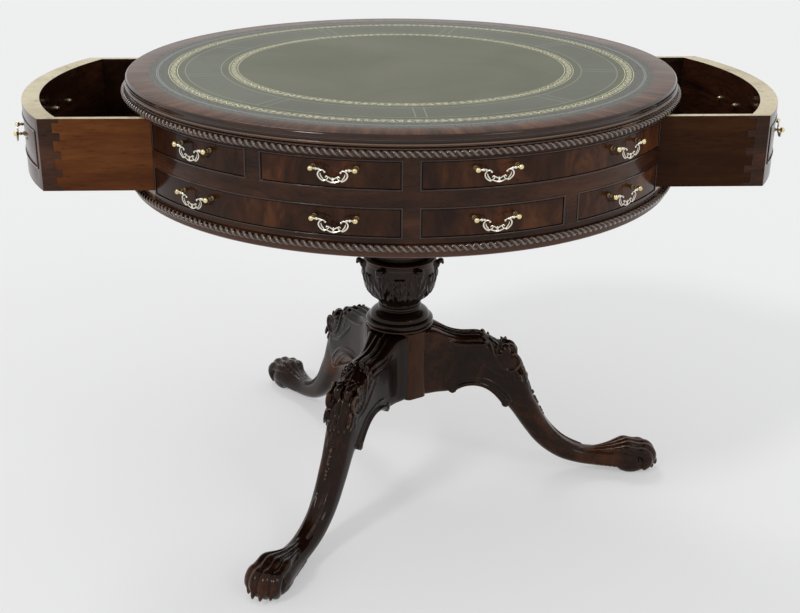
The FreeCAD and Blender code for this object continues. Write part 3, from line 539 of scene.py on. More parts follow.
handle_brass = metal("handle_brass", (0.86, 0.82, 0.70), (0.16, 0.11, 0.06), 0.18)
post_brass = metal("post_brass", (0.84, 0.70, 0.38), (0.20, 0.13, 0.05), 0.20)
dull_brass = metal("dull_brass", (0.24, 0.17, 0.08), (0.08, 0.05, 0.025), 0.40)
nut_brass = metal("nut_brass", (0.82, 0.72, 0.50), (0.30, 0.20, 0.10), 0.28)
washer_brass = metal("washer_brass", (0.70, 0.56, 0.32), (0.25, 0.16, 0.08), 0.35)
spindle_steel = metal("spindle_steel", (0.52, 0.52, 0.53), (0.20, 0.18, 0.17), 0.32)
plate_iron = metal("plate_iron", (0.09, 0.09, 0.09), (0.05, 0.035, 0.03), 0.55)

# %% [markdown]
# ## The tooled leather
#
# The writing surface is hide, dyed olive grey and pressed with hot brass tools: two gilt bands of running
# scroll between fine lines, and plain "blind" lines without gold. Everything is a ring or a spoke, so the
# pattern is drawn in polar form: the distance from the middle, and the angle round it.

# %% Sizes of the tooling
GILT_WIDTH = 15 * MM
GILT_BANDS = ((374.5 * MM, 98), (277 * MM, 72))
BLIND_RINGS = (401 * MM, 398.5 * MM, 355 * MM, 297 * MM)
BLIND_WIDTH = 1.1 * MM
PANEL_COUNT = 9
PANEL_START = math.radians(8)
PANEL_GAP = 8 * MM
HANDLED_REACH = 383 * MM
HIDE_TONES = ((0.35, (0.090, 0.094, 0.054)), (0.50, (0.110, 0.115, 0.069)), (0.66, (0.132, 0.138, 0.086)))
OUTER_HIDE, OUTER_SPECKS = (0.138, 0.138, 0.120), (0.062, 0.064, 0.056)
RING_HIDE, BLIND_LINE, GOLD = (0.125, 0.142, 0.135), (0.38, 0.43, 0.43), (1.0, 0.95, 0.62)


# %% The tooled lines and the vine
def hairline(value, middle, width):
    """1 on a thin line where the value is near its middle."""
    return abs(value - middle).below(width / 2, width * 0.5)


def gilt_scroll(reach, angle, middle, repeats):
    """A running vine with a leaf curl in each hollow, between two fine lines."""
    half = GILT_WIDTH / 2
    across = (reach - middle) / half
    along = (angle * (repeats / TURN)).fraction()
    pattern = abs(across - (along * TURN).sine() * 0.42).below(0.13, 0.08)
    stretch = TURN * middle / repeats / half
    for spot, side in ((0.25, -0.28), (0.75, 0.28)):
        away = (((along - spot) * stretch) ** 2.0 + (across - side) ** 2.0) ** 0.5
        pattern = pattern + abs(away - 0.30).below(0.07, 0.06) + away.below(0.10, 0.06)
    inside = abs(across).below(0.80, 0.05)
    edges = abs(abs(across) - 0.93).below(0.055, 0.04)
    return (pattern * inside + edges).clamped()


# %% The leather finish
def tooled_leather():
    finish = Finish("tooled_leather")
    spot = finish.place()
    reach, angle = polar(finish, spot)

    gilt = sum(gilt_scroll(reach, angle, middle, repeats) for middle, repeats in GILT_BANDS)
    rubbed = finish.noise(spot, 420, detail=3.0).below(0.46, 0.12)
    gilt = (gilt * (1.0 - rubbed * 0.85)).clamped()

    panel_outer, panel_inner = BLIND_RINGS[2:]
    in_ring = abs(reach - (panel_outer + panel_inner) / 2).below((panel_outer - panel_inner) / 2)
    turn_in_panel = ((angle + (math.pi + PANEL_START)) * (PANEL_COUNT / TURN)).fraction() - 0.5
    from_spoke = (turn_in_panel * (TURN / PANEL_COUNT)).sine() * reach
    blind = sum(hairline(reach, ring, BLIND_WIDTH) for ring in BLIND_RINGS)
    blind = (blind + hairline(abs(from_spoke), PANEL_GAP, BLIND_WIDTH) * in_ring).clamped()

    cloud = finish.noise(spot, 5.0, detail=4.0, warp=0.5)
    mottle = finish.noise(spot, 90.0, detail=3.0)
    speckle = finish.noise(spot, 300.0, detail=2.0)
    beyond_hands = 1.0 - reach.below(HANDLED_REACH, 2 * MM)
    hide = finish.ramp(cloud * 0.75 + mottle * 0.25, *HIDE_TONES)
    hide = finish.blend(beyond_hands * 0.75, hide, OUTER_HIDE)
    hide = finish.blend(beyond_hands * speckle.below(0.47, 0.12), hide, OUTER_SPECKS)
    hide = finish.blend(in_ring * 0.30, hide, RING_HIDE)
    hide = finish.blend(blind * 0.60, hide, BLIND_LINE)
    grain = finish.node("ShaderNodeTexVoronoi", {}, {"Vector": spot, "Scale": 900.0})
    return finish.finish(Base_Color=finish.blend(gilt, hide, GOLD), Metallic=gilt * 0.35,
                         Roughness=0.40 + mottle * 0.12 - gilt * 0.12, Specular_IOR_Level=0.2,
                         Normal=finish.bump(grain * 0.25 - gilt - blind, 0.00012, 0.5))


hide_finish = tooled_leather()

# %% [markdown]
# ## The moulded rim
#
# The leather lies in a shallow bed, held by a crossband: a ring of veneer whose grain runs outwards from
# the middle. Its edge is a small stack of mouldings, from the top down a thumb, a shallow hollow, a round
# bead and a cove above the rope. All of it is one outline, turned about the axis as on a lathe.

# %% Turn the rim
def below_top(rows):
    """Rows of (radius, depth under the desk's top) in mm as outline points."""
    return [(reach * MM, desk_top - depth * MM) for reach, depth in rows]


ROUND_STEPS = 240
CROSSBAND_DEPTH = 0.8 * MM
rim_inner = leather_edge - 30 * MM
board_low = low("top_board").z
rim_outline = [(rim_inner, rim_underside), (450 * MM, rim_underside)]
rim_outline += below_top([(450, 20.8), (450.3, 20.8)] + bow((450.3, 20.8), (452.4, 16.1), 0.40)
                         + [(452.4, 15.7), (451.6, 15.5)] + bow((451.6, 15.5), (451.6, 12.3), -1.0, 7)
                         + [(450.7, 12.1)] + bow((450.7, 12.1), (450.9, 7.8), 0.22)
                         + [(449.9, 7.6), (449.9, 7.1), (450.7, 6.9)]
                         + bow((450.7, 6.9), (447.5, 0), -0.48, 9))
rim_outline += [(leather_edge, desk_top), (leather_edge, board_low), (rim_inner, board_low)]
moulded_rim = spun("moulded_rim", rim_outline, steps=ROUND_STEPS, closed=True, angle=28)
paint(moulded_rim, edge_mahogany)
paint(moulded_rim, crossband_mahogany,
      lambda face: face.normal.z > 0.9 and face.calc_center_median().z > desk_top - CROSSBAND_DEPTH)
mount(moulded_rim, "drum", "crossband_mahogany", "top_rim")

# %% [markdown]
# ## Rope mouldings
#
# A rope runs round the rim and another round the foot of the drum. On the real desk each is a half-round
# strip carved into slanting strands. One strand is a small grid: across it the surface swells between two
# grooves, and along it the strand climbs over the half-round. Spinning copies of it makes the whole ring.

# %% Carve one strand and repeat it
STRANDS = 268
STRAND_ACROSS, CLIMB_STEPS = 4, 8
STRAND_ALONG = CLIMB_STEPS + 3
GROOVE_DEPTH = 0.50
ROPE_RADIUS, ROPE_STAND = 5 * MM, 4.4 * MM


def rope_moulding(name, face, bottom):
    """A rope on the wall of a given radius. A strand's first and last rows close it against the wall."""
    strand = primitive("grid", name, x_subdivisions=STRAND_ACROSS, y_subdivisions=STRAND_ALONG, size=2)
    for point in strand.data.vertices:
        across = (point.co.x + 1) / 2
        row = round((point.co.y + 1) / 2 * STRAND_ALONG)
        climb = math.pi * (max(0, min(row - 1, CLIMB_STEPS)) / CLIMB_STEPS - 0.5)
        if row == STRAND_ALONG:
            climb = -math.pi / 2
        swell = ROPE_RADIUS * (1 - GROOVE_DEPTH * (1 - math.sin(math.pi * across) ** 0.8))
        reach, rise = face + ROPE_STAND + swell * math.cos(climb), swell * math.sin(climb)
        if row in (0, STRAND_ALONG - 1, STRAND_ALONG):
            reach, rise = face, math.copysign(ROPE_RADIUS * (1 - GROOVE_DEPTH), climb)
        angle = TURN / STRANDS * (across - climb / math.pi)
        point.co = (reach * math.cos(angle), reach * math.sin(angle), bottom + ROPE_RADIUS + rise)
    with editing(strand):
        bpy.ops.mesh.spin(steps=STRANDS - 1, dupli=True, angle=TURN * (STRANDS - 1) / STRANDS,
                          center=(0, 0, 0), axis=(0, 0, -1))
        tidy_mesh(merge=1e-5)
    return paint(smooth(strand, 32), rope_mahogany)


mount(rope_moulding("rim_rope", 450 * MM, rim_underside), "drum", "carved_mahogany", "upper_rope")
mount(rope_moulding("foot_rope", wall_radius, floor_board_top), "drum", "carved_mahogany", "lower_rope")

# %% [markdown]
# ## The curved friezes
#
# Between the drawers the drum is closed by curved walls with false drawers: flame veneer panels, each with
# a fine gap round it and a proud bead that frames it. The upper row has two short panels on the left and
# one long one on the right, and the lower row the other way round. The wall is spun from its section, cut
# along the lines of the panels, and each panel is inset three times, which leaves a groove round it.

# %% Where the panels are
BEAD_WIDTH, BEAD_STAND = 2.2 * MM, 1.4 * MM
STILE_HALF, MID_STILE, MIDDLE_TURN = 1.5, 30.2, 0.8  # degrees
FRIEZE_MARGIN, DRAWER_MARGIN = 5.1 * MM, 13.3 * MM
bead_top, bead_foot = high("frieze_beads").z, low("frieze_beads").z
UPPER_ROW = (bead_top - 44 * MM, bead_top)
LOWER_ROW = (bead_foot, bead_top - 68 * MM)
DRAWER_ROW = (low("right_drawer_beads").z, high("right_drawer_beads").z)


def degrees_along(length):
    return math.degrees(length / wall_radius)


frieze_end = 90 - math.degrees(math.asin(wall_half_width / wall_radius)) - degrees_along(FRIEZE_MARGIN)
drawer_end = math.degrees(math.asin(drawer_half / wall_radius)) - degrees_along(DRAWER_MARGIN)
short_end, short_start = MID_STILE + STILE_HALF, MID_STILE - STILE_HALF
left_end, right_start = -STILE_HALF - MIDDLE_TURN, STILE_HALF - MIDDLE_TURN
FRIEZE_PANELS = [(-frieze_end, -short_end, UPPER_ROW), (-short_start, left_end, UPPER_ROW),
                 (right_start, frieze_end, UPPER_ROW), (-frieze_end, left_end, LOWER_ROW),
                 (right_start, short_start, LOWER_ROW), (short_end, frieze_end, LOWER_ROW)]
DRAWER_PANELS = [(90 - drawer_end, 90 + drawer_end, DRAWER_ROW)]
print(f"frieze panels end at {frieze_end:.1f} degrees, drawer panels at {drawer_end:.1f}")


# %% Spin a wall and sink its panels
def inside_bead(spot, start, end, row):
    """Whether a place lies inside the bead of a panel between two angles and two heights."""
    edge = degrees_along(BEAD_WIDTH)
    return start + edge < bearing(spot) < end - edge and row[0] + BEAD_WIDTH < spot.z < row[1] - BEAD_WIDTH


def slice_wall(angle):
    """Cut the whole mesh by the upright plane at an angle round the drum."""
    side = math.radians(angle)
    bpy.ops.mesh.select_all(action="SELECT")
    bpy.ops.mesh.bisect(plane_co=(0, 0, 0), plane_no=(math.cos(side), math.sin(side), 0))


# Width and depth, in mm, of the groove's wall, its floor, and the rise to the panel.
PANEL_INSETS = ((0.2, -1.4), (0.8, 0.0), (0.2, 1.25))


def panelled_wall(name, inner, section, panels, middle, reach):
    """A curved wall of a given section, with a groove round each of its panels."""
    wall = spun(name, section, steps=round(reach), start=math.radians(middle - 90 - reach), closed=True,
                sweep=math.radians(2 * reach))
    edge = degrees_along(BEAD_WIDTH)

    def on_panel(face):
        spot = face.calc_center_median()
        outward = face.normal.dot(Vector((spot.x, spot.y, 0)).normalized()) > 0.9
        return outward and spot.xy.length > inner + MM and any(inside_bead(spot, *panel) for panel in panels)

    for finish in (frieze_mahogany, groove_painted_shadow, flame_mahogany):
        wall.data.materials.append(finish)
    with editing(wall):
        for angle in sorted({line for start, end, _ in panels for line in (start + edge, end - edge)}):
            slice_wall(angle)
        pick("faces", on_panel)
        # The panel faces first get the near-black finish, which stays on the groove that the insets make round
        # them: painted shadow.
        wall.active_material_index = 1
        bpy.ops.object.material_slot_assign()
        for thickness, depth in PANEL_INSETS:
            bpy.ops.mesh.inset(thickness=thickness * MM, depth=depth * MM, use_even_offset=True)
        wall.active_material_index = 2
        bpy.ops.object.material_slot_assign()
    return wall


# %% Make the front wall and its twin behind
def row_stops(*rows):
    return [height for row in rows for height in (row[0] + BEAD_WIDTH, row[1] - BEAD_WIDTH)]


foot_line = floor_board_top + 10 * MM
frieze_section = [(wall_inner, floor_board_top), (wall_radius, floor_board_top), (wall_radius, foot_line)]
frieze_section += bow((wall_radius, foot_line), (wall_radius, foot_line + 3 * MM), 0.55)
frieze_section += [(wall_radius, stop) for stop in row_stops(LOWER_ROW, UPPER_ROW)]
frieze_section += [(wall_radius, rim_underside), (wall_inner, rim_underside)]
front_wall = panelled_wall("front_wall", wall_inner, frieze_section, FRIEZE_PANELS, 0, 62)
with editing(front_wall):
    bpy.ops.mesh.bisect(plane_co=(0, -wall_half_width, 0), plane_no=(0, 1, 0),
                        use_fill=True, clear_outer=True)
    tidy_mesh()
smooth(front_wall, 20)
back_wall = copy_of(front_wall, "back_wall", Matrix.Rotation(math.pi, 4, "Z"))
mount(front_wall, "drum", "veneered_mahogany", "front_frieze")
mount(back_wall, "drum", "veneered_mahogany", "back_frieze")

# %% [markdown]
# ## Beads
#
# Each bead is a thin strip bent round the drum and mitred at its corners. A sheet is spun in three stretches
# so that it has a narrow border, the middle is deleted, and what is left is given a thickness and rounded.

# %% Frame the panels with beads
BEAD_SUNK, BEAD_ROUND = 0.3 * MM, 0.75 * MM


def bead_frame(start, end, row):
    """One frame of bead on the wall, between two angles and two heights."""
    ground = wall_radius - BEAD_SUNK
    edge = math.radians(degrees_along(BEAD_WIDTH))
    span = math.radians(end - start)
    middle_steps = max(8, round((end - start) / 1.5))
    sheet = draw("bead", [(ground, height) for height in (row[0], *row_stops(row), row[1])])
    with editing(sheet):
        bpy.ops.mesh.remove_doubles(threshold=1e-7)
        bpy.ops.transform.rotate(value=-math.radians(start - 90), orient_axis="Z", center_override=(0, 0, 0))
        for steps, angle in ((1, edge), (middle_steps, span - 2 * edge), (1, edge)):
            bpy.ops.mesh.spin(steps=steps, angle=angle, center=(0, 0, 0), axis=(0, 0, -1))
        pick("faces", lambda face: inside_bead(face.calc_center_median(), start, end, row))
        bpy.ops.mesh.delete(type="FACE")
        tidy_mesh()
    modify(sheet, "SOLIDIFY", thickness=BEAD_STAND + BEAD_SUNK, offset=1.0)
    modify(sheet, "BEVEL", width=BEAD_ROUND, segments=3, limit_method="ANGLE", angle_limit=math.radians(40))
    return sheet


def beads(name, panels):
    """All the frames of one wall as one piece."""
    piece = join(name, [bead_frame(*panel) for panel in panels])
    return paint(smooth(piece, 50), bead_mahogany)


front_beads = beads("frieze_bead_frames", FRIEZE_PANELS)
back_beads = copy_of(front_beads, "back_bead_frames", Matrix.Rotation(math.pi, 4, "Z"))
frieze_beads = join("frieze_bead_frames", [front_beads, back_beads])
mount(frieze_beads, "drum", "bead_mahogany", "frieze_beads")

# %% [markdown]
# ## The drawers
#
# Each drawer is a box whose front follows the drum. Its sides meet the front in half-blind dovetails: flared
# tails on the sides slide into sockets that stop short of the face, so only the drawer's side shows them.
# The right drawer is made closed, round the drum's middle, and then pulled out along X. The left drawer is
# the same drawer turned half round. The right drawer's sides get a darker copy of the same wood: painted
# shade.

# %% Shape the drawer front
FRONT_THICKNESS, SIDE_THICKNESS = 27.5 * MM, 12 * MM
drawer_inner = wall_radius - FRONT_THICKNESS
drawer_section = [(drawer_inner, drawer_low), (wall_radius, drawer_low)]
drawer_section += [(wall_radius, stop) for stop in row_stops(DRAWER_ROW)]
drawer_section += [(wall_radius, drawer_high), (drawer_inner, drawer_high)]
drawer_front = panelled_wall("panelled_front", drawer_inner, drawer_section, DRAWER_PANELS, 90, 33)
with editing(drawer_front):
    for side in (1, -1):
        bpy.ops.mesh.select_all(action="SELECT")
        bpy.ops.mesh.bisect(plane_co=(0, side * drawer_half, 0), plane_no=(0, side, 0),
                            use_fill=True, clear_outer=True)
    tidy_mesh()

# %% Cut one row of tails
TAILS = 4
TAIL_DEPTH, TAIL_ROOT = 11 * MM, 8 * MM
TAIL_NECK, TAIL_TIP = 6.5 * MM, 8.5 * MM
joint_line = math.sqrt(drawer_inner ** 2 - drawer_half ** 2)
board_middle = drawer_half - SIDE_THICKNESS / 2


def tail_row(name, side, slack=0.0):
    """Flared tails at one side of the drawer, pointing to its front."""
    tails = []
    pitch = (drawer_high - drawer_low) / TAILS
    for index in range(TAILS):
        tail = primitive(
            "cube", name, size=2,
            scale=((TAIL_DEPTH + TAIL_ROOT) / 2 + slack, SIDE_THICKNESS / 2 + slack, TAIL_NECK + slack),
            location=(joint_line + (TAIL_DEPTH - TAIL_ROOT) / 2, side * board_middle,
                      drawer_low + pitch * (index + 0.5)))
        settle(tail)
        with editing(tail):
            pick("verts", lambda point: point.co.x > joint_line)
            bpy.ops.transform.resize(value=(1, 1, TAIL_TIP / TAIL_NECK))
        tails.append(tail)
    return join(name, tails)


# %% Join the sides to the front
def carve(piece, tool, way):
    """Cut a tool out of a piece, or merge it in, and delete the tool."""
    modify(piece, "BOOLEAN", object=tool, operation=way, solver="EXACT")
    bpy.data.objects.remove(tool)
    return piece


def drawer_side(side):
    """One side board with its tails."""
    start = low("right_drawer_sides").x - drawer_shift
    middle_height = (drawer_high + drawer_low) / 2
    board = primitive("cube", "drawer_side", size=2,
                      scale=((wall_radius - start) / 2, SIDE_THICKNESS / 2, (drawer_high - drawer_low) / 2),
                      location=((wall_radius + start) / 2, side * board_middle, middle_height))
    settle(board)
    inside = primitive("cylinder", "reach", vertices=360, radius=drawer_inner, depth=0.4,
                       location=(0, 0, middle_height))
    carve(board, settle(inside), "INTERSECT")
    return carve(board, tail_row("tails", side), "UNION")


SOCKET_SLACK = 0.12 * MM
for side in (-1, 1):
    carve(drawer_front, tail_row("sockets", side, slack=SOCKET_SLACK), "DIFFERENCE")
drawer_sides = join("dovetailed_sides", [drawer_side(side) for side in (-1, 1)])
print("drawer front and sides:", len(drawer_front.data.polygons), len(drawer_sides.data.polygons), "faces")

# %% [markdown]
# The upper edges of a drawer are bare wood, polished smooth by the drum's rail. Their paleness is partly the
# wood's own and partly a painted highlight on the faces that look up. A small bevel rounds every long edge,
# and only the faces that look up get the pale finish.

# %% Finish the drawer box
def looks_up(face):
    return face.normal.z > 0.8 and face.calc_center_median().z > drawer_high - 1.5 * MM


def looks_in(face):
    return abs(face.calc_center_median().y) < drawer_half - SIDE_THICKNESS + 0.2 * MM


for piece, width, angle in ((drawer_sides, 0.5, 40), (drawer_front, 0.35, 25)):
    modify(piece, "BEVEL", width=width * MM, segments=2, limit_method="ANGLE", angle_limit=math.radians(60))
    smooth(piece, angle)
# The faces that look up get the pale finish: bare wood with a painted highlight.
paint(drawer_front, bare_edge_and_highlight_wood, looks_up)
paint(drawer_sides, drawer_wood)
# The inner faces of the sides get the dark inside finish: painted shade.
paint(drawer_sides, drawer_inside_shade_wood, looks_in)
paint(drawer_sides, bare_edge_and_highlight_wood, looks_up)
drawer_beads = beads("front_bead_frames", DRAWER_PANELS)

# %% Put both drawers in their places
PULLED = {"right": Matrix.Translation((drawer_shift, 0, 0)),
          "left": Matrix.Rotation(math.pi, 4, "Z") @ Matrix.Translation((drawer_shift, 0, 0))}
DRAWER_PARTS = ((drawer_front, "veneered_mahogany", "front"), (drawer_sides, "drawer_wood", "sides"),
                (drawer_beads, "bead_mahogany", "beads"))
for hand, pulled in PULLED.items():
    for piece, slot, part in DRAWER_PARTS:
        twin = copy_of(piece, f"{hand}_{piece.name}", pulled)
        # The right drawer's sides take the darker copy of their wood: painted shade.
        for holder in twin.material_slots:
            if hand == "right" and holder.material == drawer_wood:
                holder.material = shaded_drawer_wood
        mount(twin, f"{hand}_drawer", slot, f"{hand}_drawer_{part}")
for piece, _, _ in DRAWER_PARTS:
    bpy.data.objects.remove(piece)

# %% [markdown]
# ## Carver's tools
#
# Carving is built up the way a clay model is: a plain body first, then rods for reeds and scrolls and small
# lobes for leaves, all overlapping. A voxel remesh then fuses them into one skin, and a light smoothing
# takes the edge off, as sandpaper does. `glide` draws smooth curves through a few measured rows of numbers.

# %% Smooth rows, rods and lobes
def glide(rows, steps):
    """A smooth curve through rows of numbers, with some steps between each two."""
    rows = [Vector(row) for row in rows]
    rows = [rows[0] * 2 - rows[1], *rows, rows[-1] * 2 - rows[-2]]
    path = []
    for before, start, end, after in zip(rows, rows[1:], rows[2:], rows[3:]):
        for step in range(steps):
            t = step / steps
            path.append(0.5 * (2 * start + (end - before) * t
                               + (2 * before - 5 * start + 4 * end - after) * t ** 2
                               + (3 * start - before - 3 * end + after) * t ** 3))
    return path + [rows[-2]]


def rod(name, points, radii, sides=3, steps=5):
    """A round rod along a smooth path of at least five points in mm, with its own radius at each point."""
    bpy.ops.object.select_all(action="DESELECT")
    bpy.ops.curve.primitive_nurbs_path_add()
    piece = bpy.context.object
    piece.name = name
    path = piece.data.splines[0]
    path.points.add(len(points) - len(path.points))
    path.order_u = 3
    path.use_endpoint_u = True
    for spot, point, radius in zip(path.points, points, radii):
        spot.co = (*(part * MM for part in point), 1.0)
        spot.radius = radius
    piece.data.resolution_u = steps
    piece.data.bevel_depth = MM
    piece.data.bevel_resolution = sides
    piece.data.use_fill_caps = True
    bpy.ops.object.convert(target="MESH")
    return bpy.context.object


def lobe(name, centre, along, side, sizes):
    """A rounded lobe: half length along one direction, half width to a side, and half height."""
    along, side = Vector(along).normalized(), Vector(side)
    side = (side - along * side.dot(along)).normalized()
    frame_of = Matrix((along, side, along.cross(side))).transposed().to_4x4()
    piece = primitive("uv_sphere", name, segments=12, ring_count=8, radius=MM)
    piece.data.transform(Matrix.Translation(Vector(centre) * MM) @ frame_of @ Matrix.Diagonal((*sizes, 1)))
    return piece


SKIN_AROUND = 40


def skin(name, rings, squareness):
    """A closed skin over rings of (top reach, top height, foot reach, foot height, half width)."""
    count = len(rings)
    piece = primitive("grid", name, x_subdivisions=count - 1, y_subdivisions=SKIN_AROUND, size=2)
    for point in piece.data.vertices:
        index = round((point.co.x + 1) / 2 * (count - 1))
        turn = TURN * round((point.co.y + 1) / 2 * SKIN_AROUND) / SKIN_AROUND
        top_reach, top_height, foot_reach, foot_height, half = (part * MM for part in rings[index])
        power = squareness[index]
        lift = math.copysign(abs(math.cos(turn)) ** power, math.cos(turn))
        wide = math.copysign(abs(math.sin(turn)) ** power, math.sin(turn))
        point.co = ((top_reach + foot_reach) / 2 + lift * (top_reach - foot_reach) / 2, half * wide,
                    (top_height + foot_height) / 2 + lift * (top_height - foot_height) / 2)
    with editing(piece):
        bpy.ops.mesh.remove_doubles(threshold=1e-6)
        for ring in (rings[0], rings[-1]):
            top, foot = Vector((ring[0], 0, ring[1])) * MM, Vector((ring[2], 0, ring[3])) * MM
            middle, across = (top + foot) / 2, (top - foot) / 2
            normal = Vector((across.z, 0, -across.x)).normalized()
            pick("edges", lambda edge: edge.is_boundary and all(
                abs((point.co - middle).dot(normal)) < 1e-5 for point in edge.verts))
            bpy.ops.mesh.edge_face_add()
        tidy_mesh()
    return piece


def fuse(name, pieces, voxel):
    """Fuse overlapping bodies into one skin and smooth it lightly."""
    body = join(name, pieces)
    modify(body, "REMESH", mode="VOXEL", voxel_size=voxel)
    modify(body, "SMOOTH", factor=0.5, iterations=1)
    alone(body)
    bpy.ops.object.shade_smooth()
    return body


# %% [markdown]
# ## The turned column
#
# The column is turned in three parts: a ringed foot, a vase carved with acanthus leaves, and a shaft that
# flares under the drum. The vase starts as a plain turning with many steps. Each of its points then moves
# outwards by a height that depends on the angle and the height, as if it were carved in low relief.

# %% Turn the foot and the shaft
def in_mm(rows):
    return [tuple(part * MM for part in row) for row in rows]


spindle_foot = low("pivot_spindle").z / MM
column_head = high("pedestal_column").z / MM
FOOT = [(0, 303), (57, 303), (58.6, 303.6)] + bow((58.6, 303.6), (58.6, 308), 0.6)
FOOT += [(57.6, 308.6)] + bow((57.6, 309), (57.4, 319), 0.55, 10) + [(56, 319.6), (55, 320.4), (54, 320.6)]
FOOT += bow((54, 320.6), (42.5, 333), 0.30, 8) + [(41, 333.6), (40.4, 333.6)]
FOOT += bow((40.4, 333.6), (36.6, 336.6), -0.4) + bow((36.6, 336.6), (37, 343.4), 0.55, 8)
FOOT += [(36.2, 343.8), (35.6, 345.4), (36.2, 347.4), (36.2, 356), (0, 356)]
SHAFT = [(0, 420), (62, 420), (62.6, 427.4)] + bow((62.6, 427.6), (62.6, 432.4), 0.8)
SHAFT += [(61, 433.2), (52, 433.6), (50, 432), (50, 438.6), (53.6, 439.4)]
SHAFT += bow((53.6, 439.4), (53.6, 449.4), 0.85, 8) + [(51, 450), (49, 451)]
SHAFT += bow((49, 451), (45.4, 462), -0.2) + [(44.4, 477), (44, 492), (44, 507), (45, 520), (47.6, 532)]
SHAFT += [(51.4, 541), (56.6, 548), (63, 553)] + bow((63, 553), (74.4, 556.4), 0.18)
SHAFT += [(76.6, 557.4), (76.6, 559)] + bow((76.6, 559), (77.4, 564.4), 0.4)
SHAFT += [(77.4, column_head), (10, column_head), (10, spindle_foot), (0, spindle_foot)]
column_foot = spun("column_foot", in_mm(FOOT), 160)
column_shaft = spun("column_shaft", in_mm(SHAFT), 160)
print("foot and shaft turned:", len(column_foot.data.polygons), len(column_shaft.data.polygons), "faces")

# %% The relief of the leaves
VASE_FOOT, VASE_LEAVES = 347.0, 76.0
LEAF_START = 27.0


def soft_step(value, start, end):
    share = min(1.0, max(0.0, (value - start) / (end - start)))
    return share * share * (3 - 2 * share)


def leaf_relief(away, rise, widest, top, plateau):
    """Height of one leaf in mm: away is in degrees from its midrib and rise runs from 0 at its foot."""
    if rise <= 0 or rise > top:
        return 0.0
    share = rise / top
    lobes = 0.86 + 0.14 * abs(math.sin(share * math.pi * 4.5 + 0.5))
    half = (5.0 + (widest - 5.0) * math.sin(math.pi * min(1.0, share ** 0.8 * 0.94)) ** 0.75) * lobes
    inside = soft_step(half - abs(away), 0.0, 3.2)
    veins = 0.75 * math.sin(abs(away) * 0.50 - share * 17.0)
    midrib = 1.1 * math.exp(-(abs(away) - 2.6) ** 2 / 2.2) - 1.0 * math.exp(-away ** 2 / 1.6)
    return inside * (plateau * (0.35 + 0.65 * soft_step(share, 0.0, 0.35)) + veins + midrib)


def carved_height(angle, height):
    """Relief in mm over the plain vase: the nearest large leaf over a smaller one over fine flutes."""
    rise = (height - VASE_FOOT) / VASE_LEAVES
    large_away = (angle - LEAF_START + 30) % 60 - 30
    small_away = (angle - LEAF_START) % 60 - 30
    large = leaf_relief(large_away, rise, 18, 1.0, 3.4) + 6.0 * soft_step(rise, 0.80, 0.97) * math.exp(
        -(large_away / 6.0) ** 2) * (1 - soft_step(rise, 0.98, 1.04))
    small = leaf_relief(small_away, rise, 15, 0.80, 2.0) + 2.6 * soft_step(rise, 0.60, 0.77) * math.exp(
        -((abs(small_away) - 5.5) / 4.0) ** 2) * (1 - soft_step(rise, 0.77, 0.83))
    flutes = -0.5 * (0.5 + 0.5 * math.cos(math.radians(angle * 60))) * (1 - soft_step(rise, 0.78, 0.84))
    return max(large, small, flutes) if max(large, small) > 0.05 else flutes


# %% Turn the vase and carve it
VASE = [(36.2, 345), (36.4, 347.6), (37.4, 350), (40.4, 353.6), (45.6, 358), (51, 363), (54.8, 369),
        (57.2, 375), (59.4, 382), (61.4, 390), (62.7, 397), (63.2, 403), (63, 410), (62.2, 419), (61.4, 425),
        (61, 428)]
# Centre, direction and half sizes of the lobes that curl over at the tip of each large leaf.
LEAF_TIP = (((0, -67, 417), (0, -0.35, 1), (8, 7.5, 4.5)), ((0, -71.5, 423), (0, -1, 0.15), (6, 7, 3.8)),
            ((0, -75, 420), (0, -0.3, -1), (4.6, 5.6, 2.8)), ((5.5, -67, 415), (0.5, -0.3, 1), (6, 3, 3)),
            ((-5.5, -67, 415), (-0.5, -0.3, 1), (6, 3, 3)))
CARVED_BEYOND = 30 * MM
VASE_VOXEL = 0.95 * MM
plain_outline = [(0, VASE[0][1]), *map(tuple, glide(VASE, 5)), (0, VASE[-1][1])]
plain_vase = spun("carved_vase", in_mm(plain_outline), 320)
for point in plain_vase.data.vertices:
    around = math.hypot(point.co.x, point.co.y)
    if around > CARVED_BEYOND:
        more = 1 + carved_height(bearing(point.co) % 360, point.co.z / MM) * MM / around
        point.co.x *= more
        point.co.y *= more

vase_parts = [plain_vase]
for index in range(6):
    turn = Matrix.Rotation(math.radians(LEAF_START + 60 * index), 4, "Z")
    for centre, way, sizes in LEAF_TIP:
        tip = lobe("leaf_tip", centre, way, (1, 0, 0), sizes)
        tip.data.transform(turn)
        vase_parts.append(tip)
vase = fuse("carved_vase", vase_parts, VASE_VOXEL)
turned_column = join("turned_column", [vase, column_foot, column_shaft])
paint(turned_column, column_mahogany)
mount(turned_column, "base", "carved_mahogany", "pedestal_column")

# %% [markdown]
# The legs meet in a six-sided hub. Its corners are rounded, so light from the side shows each narrow face
# as a bright strip between two legs.

